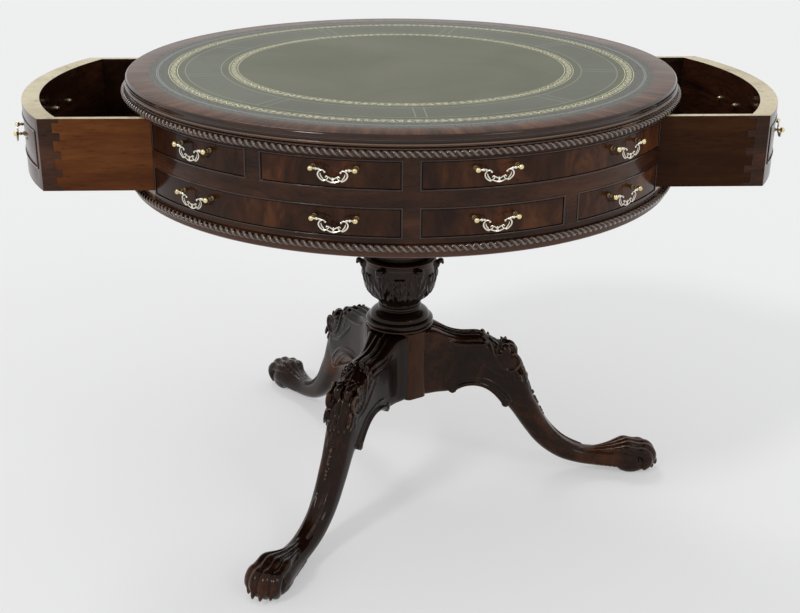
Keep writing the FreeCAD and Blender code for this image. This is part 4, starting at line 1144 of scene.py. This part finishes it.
# %% Build the hub
HUB_CORNERS = (43.9, 76.1, 163.9, 196.1, 283.9, 316.1)
HUB_CORNER_REACH = 62.4 * MM
bevelled_hub = primitive("cylinder", "bevelled_hub", vertices=6, radius=1, depth=1)
for point in bevelled_hub.data.vertices:
    sixth = round(math.degrees(math.atan2(point.co.y, point.co.x)) % 360 / 60 - 0.5) % 6
    corner = math.radians(HUB_CORNERS[sixth])
    point.co = (HUB_CORNER_REACH * math.cos(corner), HUB_CORNER_REACH * math.sin(corner),
                hub_high if point.co.z > 0 else hub_low)
with editing(bevelled_hub):
    pick("edges", lambda edge: abs(edge.verts[0].co.z - edge.verts[1].co.z) > 10 * MM)
    bpy.ops.mesh.bevel(offset=5 * MM, segments=4)
    pick("edges", lambda edge: max(point.co.z for point in edge.verts) < hub_low + MM
         and edge.calc_face_angle(0) > 1)
    bpy.ops.mesh.bevel(offset=1.2 * MM, segments=2)
    tidy_mesh()
smooth(bevelled_hub, 40)
paint(bevelled_hub, hub_mahogany)
mount(bevelled_hub, "base", "carved_mahogany", "leg_hub")

# %% [markdown]
# ## The carved legs
#
# Each leg is a cabriole: it leaves the hub deep and narrow, swells at a carved knee, sweeps down to a thin
# ankle and ends in a lion's paw. One leg is modelled along +X and copied twice, a third of a turn apart.
# Its plain body is a skin over rings, given by the leg's upper and lower outlines and its width.

# %% Build the body of the leg
LEG_RINGS = [
    (41, 301, 41, 174.5, 41.5), (54, 300, 54, 174.5, 37), (66, 297, 68, 174.5, 32),
    (86, 287, 88, 174.5, 28.5), (106, 281, 106, 177, 27), (128, 280.5, 120, 182, 26),
    (146, 279, 133, 185, 25.5), (164, 270, 147, 184, 25.5), (184, 258, 160, 180, 25.5),
    (202, 247, 172, 169, 25.5), (215, 233, 184, 155, 25.5), (223, 218, 194, 143, 25),
    (230, 202, 203, 133, 24), (239, 178, 214, 118, 23.5), (248, 155, 226, 100, 23),
    (259, 135, 238, 83, 22.5), (272, 111, 251, 66, 22), (287, 88, 267, 50, 21.5),
    (303, 70, 284, 37, 21), (320, 58, 301, 27, 21), (336, 50, 319, 20, 21),
    (352, 45, 341, 14, 21), (368, 43, 362, 10.5, 22), (384, 43, 381, 8, 24), (400, 45, 402, 6, 27),
    (416, 47, 420, 4, 30), (432, 48, 436, 3, 32), (446, 44, 450, 3, 31)]
LEG_SQUARE = [0.2, 0.2, 0.22, 0.24, 0.28, 0.32, 0.36, 0.42, 0.46, 0.5, 0.54, 0.6, 0.64, 0.66, 0.68, 0.7, 0.72,
              0.74, 0.76, 0.78, 0.8, 0.82, 0.84, 0.86, 0.88, 0.88, 0.88, 0.88]
RING_STEPS = 3
leg_rings = glide(LEG_RINGS, RING_STEPS)
leg_square = [row.x for row in glide([(value, 0) for value in LEG_SQUARE], RING_STEPS)]
leg_parts = [skin("leg_body", leg_rings, leg_square)]

# %% [markdown]
# The shoulder of the leg is fluted: thin ridges run side by side from under the column, with hollows
# between them. The hollows end in a row of small rolls above the knee.

# %% Lay the ridges between the flutes
RIDGES = 7
RIDGE_LINE = [(56, 301.5), (66, 298.5), (77, 293), (90, 287), (108, 283), (122, 282.5), (134, 283),
              (146, 281.5), (152, 277)]
RIDGE_RADII = [2.0, 2.2, 2.3, 2.3, 2.3, 2.3, 2.4, 2.6, 1.8]
RIDGE_SPREAD, SHOULDER_FALL = math.radians(80), 17
outermost = (RIDGES - 1) / 2


def shoulder_tilt(index):
    """How far a ridge leans to its side: the middle one stands upright."""
    return RIDGE_SPREAD * (index - outermost) / outermost


for index in range(RIDGES):
    tilt = shoulder_tilt(index)
    longer = 1 + 0.06 * math.sin(tilt) ** 2
    thicker = 1.5 if abs(index - outermost) == outermost else 1.0
    fall = SHOULDER_FALL * (1 - math.cos(tilt))
    points = [(56 + (reach - 56) * longer, 26.0 * math.sin(tilt), height - fall)
              for reach, height in RIDGE_LINE]
    leg_parts.append(rod("ridge", points, [radius * thicker for radius in RIDGE_RADII]))
for index in range(RIDGES - 1):
    tilt = shoulder_tilt(index + 0.5)
    fall = SHOULDER_FALL * (1 - math.cos(tilt))
    place = (151 + 5.5 * math.sin(tilt) ** 2, 25.0 * math.sin(tilt), 280.5 - fall)
    leg_parts.append(lobe("flute_end", place, (0.7, 0, -1), (0, 1, 0), (6.4, 4.2, 3.8)))
print(RIDGES, "ridges laid")

# %% [markdown]
# The knee carries a leaf that grows from under the reeds and two egg-shaped bosses. On each side a C-scroll
# frames a fan of lobes. Below hang a pendant leaf, a fluted bellflower and a string of small drops.

# %% Helpers for leaves on the front edge of the leg
RIDGE = glide([(148, 279), (160, 273), (174, 264), (188, 256), (202, 247), (214, 234), (222, 220), (230, 202),
               (239, 178), (248, 155), (259, 134), (272, 110)], 4)


def ridge_at(share):
    """A point of the leg's upper edge and the way it runs there."""
    spot = min(len(RIDGE) - 2, int(share * (len(RIDGE) - 1)))
    point, after = RIDGE[spot], RIDGE[spot + 1]
    return Vector((point.x, 0, point.y)), Vector((after.x - point.x, 0, after.y - point.y)).normalized()


def share_at(height):
    """How far along the ridge a height lies."""
    return min(range(len(RIDGE)), key=lambda spot: abs(RIDGE[spot].y - height)) / (len(RIDGE) - 1)


def ridge_lobe(height, side, lift, lean, sizes):
    """A lobe on the ridge at a height, some way to a side and leaning outwards from the ridge's run."""
    point, along = ridge_at(share_at(height))
    up, out = Vector((-along.z, 0, along.x)), Vector((0, 1, 0))
    drop = side ** 2 / 60
    outward_lean = math.copysign(math.radians(lean), side or 1)
    heading = along * math.cos(outward_lean) + out * math.sin(outward_lean)
    return lobe("lobe", point + out * side + up * (lift - drop), heading, along.cross(out), sizes)


# %% Carve the leaf, the bosses and the pendants
# Each row begins with a height on the ridge and, where it has a side, a distance from the ridge's middle.
KNEE_LEAF = ((276, 6, 9), (271, 9, 11), (266, 12, 12), (261, 13, 12), (256, 13, 10))  # half length last
PENDANT = ((232, 4.5, 6, 17), (222, 11, 14, 17), (206, 4, 2, 14), (208, 10.5, 4, 13), (198, 6, 14, 9),
           (214, 16, 8, 12), (196, 15, 4, 11))  # lean and half length last
BELLFLOWER = ((176, 2.6, 15), (175, 7.8, 13), (184, 12, 9))  # half length last
DROPS = ((152, 3.4), (144, 3.0), (137, 3.0), (130, 2.7), (123, 2.4), (117, 2.0))  # radius last

for height, spread, length in KNEE_LEAF:
    leg_parts.append(ridge_lobe(height, 0, 1.6, 0, (7, 2.6, 3.0)))
    for side in (-1, 1):
        leg_parts.append(ridge_lobe(height, side * spread * 0.62, 1.2, 38, (length, 2.6, 2.6)))
        leg_parts.append(ridge_lobe(height - 2, side * (spread + 5), -1.0, 50, (length * 0.8, 2.8, 2.8)))
for side in (-1, 1):
    leg_parts.append(lobe("boss", (203, side * 9.5, 249), (0.62, side * 0.12, -1), (0, 1, 0), (15, 9, 10.5)))
    leg_parts.append(lobe("boss_cup", (194, side * 13, 258), (1, side * 0.5, -0.5), (0, 1, 0), (8, 6, 5.5)))
    for height, spread, lean, length in PENDANT:
        leg_parts.append(ridge_lobe(height, side * spread, 1.0, lean, (length, 3.0, 3.2)))
    leg_parts.append(ridge_lobe(226, side * 16, -1.0, 8, (20, 3.2, 3.2)))
    for height, spread, length in BELLFLOWER:
        leg_parts.append(ridge_lobe(height, side * spread, 0.7, 3, (length, 2.2, 2.8)))
leg_parts.append(ridge_lobe(192, 0, 1.8, 0, (6, 3.2, 3.2)))
leg_parts.append(ridge_lobe(160, 0, 1.4, 0, (5, 3.6, 2.8)))
for height, radius in DROPS:
    leg_parts.append(ridge_lobe(height, 0, 0.6, 0, (radius * 1.35, radius, radius)))
print(len(leg_parts), "parts after the knee's leaf and pendants")

# %% Carve the scrolls beside the knee
SCROLL = [(163, 272), (167, 258), (172, 244), (179, 230), (188, 219), (199, 214), (210, 217), (217, 227),
          (217, 239), (210, 248), (200, 248), (195, 241), (198, 235)]
SCROLL_RADII = [1.8, 2.6, 3.0, 3.2, 3.4, 3.4, 3.4, 3.2, 3.0, 2.8, 2.6, 2.4, 2.6]
OUTER_SCROLL = [(128, 256), (136, 247), (146, 237), (157, 227), (168, 217), (180, 209), (194, 205)]
OUTER_RADII = [1.0, 1.9, 2.4, 2.6, 2.6, 2.4, 1.4]
FAN_MIDDLE = (199, 243)
FAN = ((100, 20), (122, 23), (144, 24), (166, 24), (188, 23), (210, 22), (232, 22), (254, 21), (276, 20))
SIDE_LEAVES = (((206, 208), -52, 13), ((217, 205), -60, 16), ((208, 196), -76, 12), ((226, 212), -66, 15),
               ((196, 203), -60, 8), ((176, 222), 130, 9), ((156, 246), 118, 9), ((149, 258), 100, 8))


def side_rod(name, rows, aside, radii):
    """A rod along rows of (reach, height) at a distance to a side of the leg's middle plane."""
    return rod(name, [(reach, aside, height) for reach, height in rows], radii)


def side_lobe(name, spot, aside, angle, sizes, ahead=0.0):
    """A lobe at a (reach, height) beside the leg, pointing at an angle and moved ahead that way."""
    way = Vector((math.cos(math.radians(angle)), 0, math.sin(math.radians(angle))))
    return lobe(name, Vector((spot[0], aside, spot[1])) + way * ahead, way, (0, 1, 0), sizes)


for side in (-1, 1):
    leg_parts += [side_rod("scroll", SCROLL, side * 25.2, SCROLL_RADII),
                  side_rod("line", OUTER_SCROLL, side * 25.2, OUTER_RADII),
                  side_lobe("scroll_ground", (205, 230), side * 21.5, -90, (18, 4.5, 13)),
                  side_lobe("scroll_heart", (207, 234), side * 23.5, -90, (7, 4.5, 6))]
    for angle, length in FAN:
        leg_parts.append(side_lobe("fan", FAN_MIDDLE, side * 24.6, angle, (length * 0.42, 2.8, 3.0),
                                   ahead=length * 0.62))
    for spot, angle, length in SIDE_LEAVES:
        leg_parts.append(side_lobe("side_leaf", spot, side * 22.8, angle, (length, 3.6, 3.0)))
print(len(leg_parts), "parts after the scrolls")

# %% [markdown]
# A moulding follows the arch under the leg on both sides: a roll on the edge, a shallow band and a thin line
# above it. It ends in a small scroll at each end. Two ridges sharpen the front of the shin.

# %% Run the moulding round the arch
ARCH = [(97, 179), (105, 185), (117, 190), (133, 192), (150, 189), (165, 181), (177, 170), (186, 159),
        (192, 150)]
ARCH_BAND = [(94, 186), (103, 193), (118, 198), (136, 198), (153, 194.5), (169, 186), (182, 175),
             (192, 164), (198, 154)]
ARCH_LINE = [(88, 191), (99, 200), (118, 204), (138, 203.5), (157, 199), (175, 190), (189, 178),
             (199, 166), (205, 154)]
SHIN_RIDGE = [(232, 13, 176), (246, 12, 148), (262, 11, 120), (282, 10.5, 90), (303, 10, 68), (324, 10, 54),
              (346, 9, 46)]
for side in (-1, 1):
    leg_parts += [side_rod("arch_roll", ARCH, side * 25.5, [3.6] + [4.4] * 7 + [3.8]),
                  side_rod("arch_band", ARCH_BAND, side * 23.4, [3.6] * 9),
                  side_rod("arch_line", ARCH_LINE, side * 25.4, [1.2] + [2.1] * 7 + [1.2]),
                  rod("shin_ridge", [(reach, side * aside, height) for reach, aside, height in SHIN_RIDGE],
                      [1.6, 2.4, 2.6, 2.6, 2.6, 2.4, 1.6])]
for reach, height in ((96, 181), (194, 151)):
    roll = primitive("cylinder", "arch_scroll", vertices=24, radius=7.6 * MM, depth=57 * MM,
                     location=(reach * MM, 0, height * MM), rotation=(math.pi / 2, 0, 0))
    leg_parts.append(settle(roll))
    for side in (-1, 1):
        leg_parts.append(side_lobe("scroll_eye", (reach, height), side * 28, 0, (3.4, 2.4, 3.4)))
print(len(leg_parts), "parts after the arch")

# %% [markdown]
# A lion's paw has four toes. Each is one curled rod that starts as a tendon on the ankle, rises to the
# knuckle, dips, swells again at the second joint and tucks under, with a blunt claw in front. A round palm
# and pads fill the paw below, and rows of short tufts mark the fur behind it.

# %% Model the paw
# Reach, height, and share of the toe's spread. The outer toes are a little shorter and lower.
TOE = [(352, 41, 0.34), (376, 42, 0.44), (400, 45, 0.62), (418, 49, 0.82), (432, 50.5, 0.94), (445, 47, 1.0),
       (456, 44.5, 1.0), (467, 43, 1.0), (476, 32, 0.98), (475, 18, 0.95), (466, 9, 0.90)]
TOE_RADII = [2.0, 2.8, 3.8, 5.6, 8.8, 8.0, 8.6, 11.0, 12.0, 11.5, 8.6]
TOE_START, CLAW_AHEAD = 352, 133
HAIR_ROWS, HAIR_TUFTS = 2, 7
for spread, shorten, drop in ((-21.5, 0.93, 0.94), (-7.4, 1.0, 1.0), (7.4, 1.0, 1.0), (21.5, 0.93, 0.94)):
    points = [(TOE_START + (reach - TOE_START) * shorten, spread * share, height * drop)
              for reach, height, share in TOE]
    leg_parts.append(rod("toe", points, TOE_RADII))
    tip = (TOE_START + CLAW_AHEAD * shorten, spread * 0.96, 17)
    leg_parts.append(lobe("claw", tip, (0.15, 0, -1), (0, 1, 0), (9.5, 3.4, 4.4)))
leg_parts.append(lobe("palm", (440, 0, 23.4), (1, 0, 0), (0, 1, 0), (44, 27, 24)))
leg_parts.append(lobe("heel", (404, 0, 21), (1, 0, -0.12), (0, 1, 0), (46, 23, 17)))
for side in (-1, 1):
    leg_parts.append(lobe("side_pad", (436, side * 19, 17.6), (1, 0, -0.05), (0, 1, 0), (30, 12, 18)))
    for row in range(HAIR_ROWS):
        for index in range(HAIR_TUFTS):
            place = (370 + index * 8, side * (20.5 + index * 0.9), 29 - row * 10 - index * 0.8)
            leg_parts.append(lobe("hair", place, (1, 0, -0.8), (0, 1, 0), (6.5, 2.2, 1.7)))
print(len(leg_parts), "parts in the leg")

# %% Fuse the leg and set its feet on the floor
LEG_VOXEL = 1.5 * MM
leg_reach = high("right_leg").x
carved_leg = fuse("carved_leg", leg_parts, LEG_VOXEL)
for point in carved_leg.data.vertices:
    point.co.z = max(point.co.z, 0.0)
    point.co.x = min(point.co.x, leg_reach)
paint(carved_leg, leg_mahogany)
for index, node in enumerate(("right_leg", "back_leg", "front_leg")):
    leg = copy_of(carved_leg, f"carved_{node}", Matrix.Rotation(TURN * index / 3, 4, "Z"))
    mount(leg, "base", "carved_mahogany", node)
bpy.data.objects.remove(carved_leg)

# %% [markdown]
# ## The brass drop handles
#
# A handle is a pair of ball-ended posts, bolted through the wood, and a cast bail that swings between the
# balls. The bail is pierced: two large C-scrolls hang from the pins, and smaller scrolls meet under them in
# the middle. One post, one bail and one nut are modelled at the front and copied to every place.

# %% Where the handles are
HANDLE_HALF = 31.25 * MM
BALL_REACH = 462 * MM
POST_TURN = math.degrees(math.asin(HANDLE_HALF / BALL_REACH))
PIVOT_REACH = math.sqrt(BALL_REACH ** 2 - HANDLE_HALF ** 2)
PIN_RADIUS = 2.6 * MM
HANDLE_ANGLES = (("outer_left", -43.8), ("inner_left", -14.3), ("inner_right", 14.3), ("outer_right", 43.8))
DRAWER_HANDLE_TURN = 10.9


def axis_height(node):
    """A bail's pins lie on the middle of its two round ends, a pin's radius below its top."""
    return high(node).z - PIN_RADIUS


def sliding(matrix, way):
    return Matrix.Translation((way * drawer_shift, 0, 0)) @ matrix


frieze_handles = {}
for side, half_turn in (("front", 0), ("back", 180)):
    for row in ("upper", "lower"):
        for name, angle in HANDLE_ANGLES:
            node = f"{side}_{row}_{name}_bail"
            frieze_handles[node] = (half_turn + angle, axis_height(node))
drawer_handles = {}
for side, way in (("right", 1), ("left", -1)):
    for name, turn in (("first", -1), ("second", 1)):
        node = f"{side}_drawer_{name}_bail"
        drawer_handles[node] = (90 * way + turn * DRAWER_HANDLE_TURN, axis_height(node), way)
print(len(frieze_handles), "handles on the friezes and", len(drawer_handles), "on the drawers")


# %% Turn a post and a nut
POST_NECK, TAIL_LENGTH = 8.4 * MM, 7 * MM


def outward(piece):
    """Lay a turned piece down so that its axis runs out of the wall at the front."""
    piece.data.transform(Matrix.Rotation(math.pi / 2, 4, "X"))
    return piece


def post(wood_depth):
    """A threaded tail through the wood, a small foot, a waist with a bead, and the ball."""
    tail = (wood_depth + TAIL_LENGTH) / MM
    outline = [(0, -tail), (1.9, -tail), (2.5, -tail + 0.6), (2.5, 0), (3.8, 0), (3.8, 0.6)]
    outline += bow((3.8, 0.6), (2.5, 2.2), 0.35) + [(1.9, 3.2), (1.8, 4.4)]
    outline += bow((1.8, 4.6), (1.8, 7.0), 0.75) + [(1.6, 7.4), (1.6, 8.2), (2.3, 8.6), (2.3, 9.0)]
    outline += bow((1.9, 9.25), (4.2, 13), 0.26, 6) + bow((4.2, 13), (0, 17.2), 0.4142, 8)
    piece = outward(spun("post", in_mm(outline), 20, angle=40))
    paint(piece, post_brass)
    return paint(piece, dull_brass, lambda face: face.calc_center_median().y > -POST_NECK)


def nut(wood_depth):
    """A domed nut on the inside of the wood."""
    outline = [(2.5, 0), (4.2, 0), (4.2, -1.0), (3.5, -1.2), (3.5, -3.0)]
    outline += bow((3.5, -3.0), (2.5, -4.5), -0.3)
    piece = spun("nut", in_mm(outline), 18, closed=True, angle=40)
    piece.data.transform(Matrix.Translation((0, 0, -wood_depth)))
    return paint(outward(piece), nut_brass)


def set_round(name, pattern, places):
    """Copies of a post or nut at both ends of each handle, joined."""
    copies = []
    for angle, height, *way in places:
        for end in (-1, 1):
            matrix = place_at(angle + end * POST_TURN, wall_radius, height)
            copies.append(copy_of(pattern, name, sliding(matrix, *way) if way else matrix))
    bpy.data.objects.remove(pattern)
    return join(name, copies)


# %% Set the posts and nuts round the desk
frieze_wood = wall_radius - wall_inner
drum_posts = set_round("ball_posts", post(frieze_wood), frieze_handles.values())
drum_nuts = set_round("domed_nuts", nut(frieze_wood), frieze_handles.values())
mount(drum_posts, "drum", "handle_brass", "frieze_handle_posts")
mount(drum_nuts, "drum", "nut_brass", "frieze_handle_nuts")
for side, way in (("right", 1), ("left", -1)):
    places = [place for node, place in drawer_handles.items() if node.startswith(side)]
    for pattern, slot, ending in ((post, "handle_brass", "posts"), (nut, "nut_brass", "nuts")):
        piece = set_round(f"{side}_{ending}_cast", pattern(FRONT_THICKNESS), places)
        mount(piece, f"{side}_drawer", slot, f"{side}_drawer_{ending}")

# %% The lines of a bail
# Rows of (across, up) from the middle between the pins, for the left half where a part has two sides.
PIN = [(-28.4, 0), (-26.4, 0), (-25.6, 0), (-24.8, 0), (-23.6, 0), (-22.4, 0), (-21.4, 0), (-20.4, -0.1),
       (-19.2, -0.4), (-17.4, -1.2)]
PIN_RADII = [1.35, 1.35, 1.35, 2.3, 2.6, 2.3, 1.2, 1.9, 1.9, 1.2]
BIG_SCROLL = [(-11.4, -4.2), (-12.4, -2.6), (-14.6, -1.5), (-17.4, -1.9), (-20.2, -4.6), (-21.3, -8.4),
              (-20.2, -12.2), (-17.4, -15.6), (-14.2, -18.0), (-12.0, -18.8)]
BIG_RADII = [1.5, 1.2, 1.3, 1.5, 1.5, 1.5, 1.5, 1.5, 1.4, 1.0]
INNER_LEAF = [(-17.6, -6.4), (-17.2, -9.6), (-15.4, -12.8), (-13.4, -15.4), (-12.6, -17.8)]
INNER_RADII = [0.6, 1.2, 1.3, 1.2, 0.7]
SMALL_SCROLL = [(-13.4, -17.4), (-10.6, -17.4), (-7.8, -15.4), (-6.6, -12.8), (-7.6, -11.0), (-9.6, -11.2),
                (-10.2, -12.9)]
SMALL_RADII = [1.1, 1.3, 1.3, 1.2, 1.1, 1.1, 1.3]
YOKE = [(-7.4, -11.2), (-4.6, -12.8), (-2.2, -14.6), (0, -15.4), (2.2, -14.6), (4.6, -12.8), (7.4, -11.2)]
YOKE_RADII = [0.9, 1.1, 1.3, 1.4, 1.3, 1.1, 0.9]
FOOT_BAR = [(-10.2, -17.2), (-7.0, -18.4), (-3.6, -19.9), (0, -20.5), (3.6, -19.9), (7.0, -18.4),
            (10.2, -17.2)]
FOOT_RADII = [0.8, 1.2, 1.4, 1.5, 1.4, 1.2, 0.8]
BAIL_DROP, ROD_SHARE = 0.90, 0.76


# %% Cast a bail
def hanging(rows, side):
    """Rows of (across, up) as points of the bail's plane."""
    return [(side * across, 0, up * BAIL_DROP) for across, up in rows]


def cast_rod(name, rows, radii, side=1):
    """A rod of the casting, a little thinner than its listed radii."""
    return rod(name, hanging(rows, side), [radius * ROD_SHARE for radius in radii], 1, 3)


bail_parts = [cast_rod("yoke", YOKE, YOKE_RADII), cast_rod("foot_bar", FOOT_BAR, FOOT_RADII),
              lobe("drop", (0, 0, -16.0), (0, 0, 1), (1, 0, 0), (3.2, 1.7, 1.3)),
              lobe("drop", (0, 0, -12.7), (0, 0, 1), (1, 0, 0), (1.8, 1.3, 1.3))]
for side in (-1, 1):
    bail_parts += [rod("pin", hanging(PIN, side), PIN_RADII, 2, 3),
                   cast_rod("big_scroll", BIG_SCROLL, BIG_RADII, side),
                   cast_rod("inner_leaf", INNER_LEAF, INNER_RADII, side),
                   cast_rod("small_scroll", SMALL_SCROLL, SMALL_RADII, side),
                   lobe("curl", (side * 11.2, 0, -4.0), (1, 0, 0), (0, 0, 1), (1.7, 1.7, 1.4))]
cast_bail = join("cast_bail", bail_parts)
smooth(cast_bail, 50)
paint(cast_bail, handle_brass)
print("bail", len(cast_bail.data.polygons), "faces")

# %% Hang a bail on every pair of posts
for node, (angle, height, *way) in {**frieze_handles, **drawer_handles}.items():
    matrix = place_at(angle, PIVOT_REACH, height)
    bail = copy_of(cast_bail, f"cast_{node}", sliding(matrix, *way) if way else matrix)
    mount(bail, node, "handle_brass", node)
bpy.data.objects.remove(cast_bail)

# %% [markdown]
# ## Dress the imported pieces
#
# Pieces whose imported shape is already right, such as the boards inside the drum, only need a finish. Each
# finish goes into the piece's own material slots.

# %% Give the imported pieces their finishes
PLAIN = {
    hide_finish: ["leather_top"],
    carcase_wood: ["carcase_boards", "drawer_runners", "hub_block", "top_board"],
    carved_mahogany: ["swivel_plate", "drum_floor", "pedestal_column", "upper_rope", "lower_rope", "leg_hub",
                      "right_leg", "back_leg", "front_leg"],
    frieze_mahogany: ["front_frieze", "back_frieze", "right_drawer_front", "left_drawer_front"],
    edge_mahogany: ["opening_rails"],
    bead_mahogany: ["frieze_beads", "right_drawer_beads", "left_drawer_beads"],
    crossband_mahogany: ["top_rim"],
    drawer_wood: ["right_drawer_sides", "left_drawer_sides"],
    drawer_inside_shade_wood: ["right_drawer_back", "left_drawer_back", "right_drawer_bottom",
                         "left_drawer_bottom"],
    nut_brass: ["frieze_handle_nuts", "right_drawer_nuts", "left_drawer_nuts"],
    washer_brass: ["swivel_washer"],
    spindle_steel: ["pivot_spindle", "spindle_nut", "plate_screws"],
    plate_iron: ["tripod_plate"],
}
BRASS_NODES = ["frieze_handle_posts", "right_drawer_posts", "left_drawer_posts"]
PLAIN[handle_brass] = BRASS_NODES + [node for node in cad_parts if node.endswith("_bail")]

for finish, names in PLAIN.items():
    for node in names:
        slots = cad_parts[node].material_slots
        if not slots:
            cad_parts[node].data.materials.append(finish)
        for slot in slots:
            slot.material = finish
print(sum(len(names) for names in PLAIN.values()), "packed pieces have a finish")

# %% [markdown]
# ## Studio
#
# A pale floor under a pale dome. The dome gives most of the light, so shadows are wide and faint and a flat
# card renders at about the level that its colour is written. Three distant lamps, each as wide as a window
# seen across a room, add the lights that show how glossy the polish is.

# %% Floor
FLOOR_SPAN = 60.0
FLOOR_TONES = ((0.855, 0.855, 0.855), (0.860, 0.860, 0.860))
floor = primitive("plane", "studio_floor", size=FLOOR_SPAN)
floor_finish = Finish("studio_floor_paint")
floor_tone = floor_finish.blend(floor_finish.noise(floor_finish.place(), 0.6), *FLOOR_TONES)
floor.data.materials.append(floor_finish.finish(Base_Color=floor_tone, Roughness=0.9, Specular_IOR_Level=0.1))

# %% [markdown]
# The floor glows a little, only for the camera and for reflections. That keeps it even and pale out to the
# horizon, while the part of it that is plain paint still shows the shadow of the desk. The dome works the
# same way: it has one level for the light that falls on the desk, and another that is seen behind it.

# %% Light and look apart
def sums(tree, operation, first, second):
    """A Math node on a socket and a second socket or number."""
    item = tree.nodes.new("ShaderNodeMath")
    item.operation = operation
    tree.links.new(first, item.inputs[0])
    if isinstance(second, float):
        item.inputs[1].default_value = second
    else:
        tree.links.new(second, item.inputs[1])
    return item.outputs[0]


def seen_directly(tree):
    """1 for what the camera sees, also in a gloss or through glass, and 0 for light on the desk."""
    ray = tree.nodes.new("ShaderNodeLightPath")
    rays = ray.outputs["Is Camera Ray"]
    for kind in ("Is Glossy Ray", "Is Transmission Ray"):
        rays = sums(tree, "MAXIMUM", rays, ray.outputs[kind])
    return rays


def show_mixed(tree, share, cast, seen, output):
    """Send a mix of two shaders to an output: the share says how much of the second there is."""
    mix = tree.nodes.new("ShaderNodeMixShader")
    for socket, source in zip(mix.inputs, (share, cast.outputs[0], seen.outputs[0])):
        tree.links.new(source, socket)
    tree.links.new(mix.outputs[0], tree.nodes[output].inputs["Surface"])


# %% Let the floor glow
FLOOR_GLOW, GLOW_SHARE = 0.88, 0.42
paint_tree = floor_finish.tree
glow = paint_tree.nodes.new("ShaderNodeEmission")
glow.inputs["Color"].default_value = (FLOOR_GLOW, FLOOR_GLOW, FLOOR_GLOW, 1.0)
glow_share = sums(paint_tree, "MULTIPLY", seen_directly(paint_tree), GLOW_SHARE)
show_mixed(paint_tree, glow_share, floor_finish.shader, glow, "Material Output")
print("floor glow share:", GLOW_SHARE)

# %% Dome
PALE = (0.81, 0.81, 0.81)
DOME_TINT, DOME_LEVEL = (0.98, 0.99, 1.0), 0.68
world = bpy.data.worlds.new("studio_dome")
scene.world = world
world.use_nodes = True
dome_tree = world.node_tree
dome_light = dome_tree.nodes["Background"]
dome_light.inputs["Color"].default_value = (*DOME_TINT, 1.0)
dome_light.inputs["Strength"].default_value = DOME_LEVEL
seen_light = dome_tree.nodes.new("ShaderNodeBackground")
seen_light.inputs["Color"].default_value = (*PALE, 1.0)
show_mixed(dome_tree, seen_directly(dome_tree), dome_light, seen_light, "World Output")
print("dome level:", DOME_LEVEL)


# %% Lamps
def distant_lamp(name, place, strength, width):
    """A lamp far away in a direction, as wide as an angle in degrees."""
    bpy.ops.object.light_add(type="SUN", location=place)
    lamp = bpy.context.object
    lamp.name = name
    lamp.data.energy = strength
    lamp.data.angle = math.radians(width)
    lamp.rotation_euler = Vector(place).to_track_quat("Z", "Y").to_euler()
    print(name, "shines with", strength)


distant_lamp("lamp_left_front", (-2.6, -2.4, 3.4), 0.72, 10)
distant_lamp("lamp_right_front", (2.4, -2.6, 2.6), 0.20, 14)
distant_lamp("lamp_behind", (-0.8, 2.6, 3.0), 0.50, 14)

# %% [markdown]
# The camera stands a little above the top, looks slightly down, and sees the desk turned by a few degrees.

# %% Camera
CAMERA_PLACE = (-0.1032, -2.1478, 1.2146)
CAMERA_TILT = math.radians(67.72)
CAMERA_TURN = math.radians(-2.77)
CAMERA_ROLL = math.radians(0.41)
CAMERA_LENS = 58.44

bpy.ops.object.camera_add()
camera = bpy.context.object
camera.name = "studio_camera"
camera.data.lens = CAMERA_LENS
camera.data.sensor_width = 36.0
camera.matrix_world = (Matrix.Translation(CAMERA_PLACE) @ Matrix.Rotation(CAMERA_TURN, 4, "Z")
                       @ Matrix.Rotation(CAMERA_TILT, 4, "X") @ Matrix.Rotation(CAMERA_ROLL, 4, "Z"))
scene.camera = camera
scene.view_settings.view_transform = "Standard"
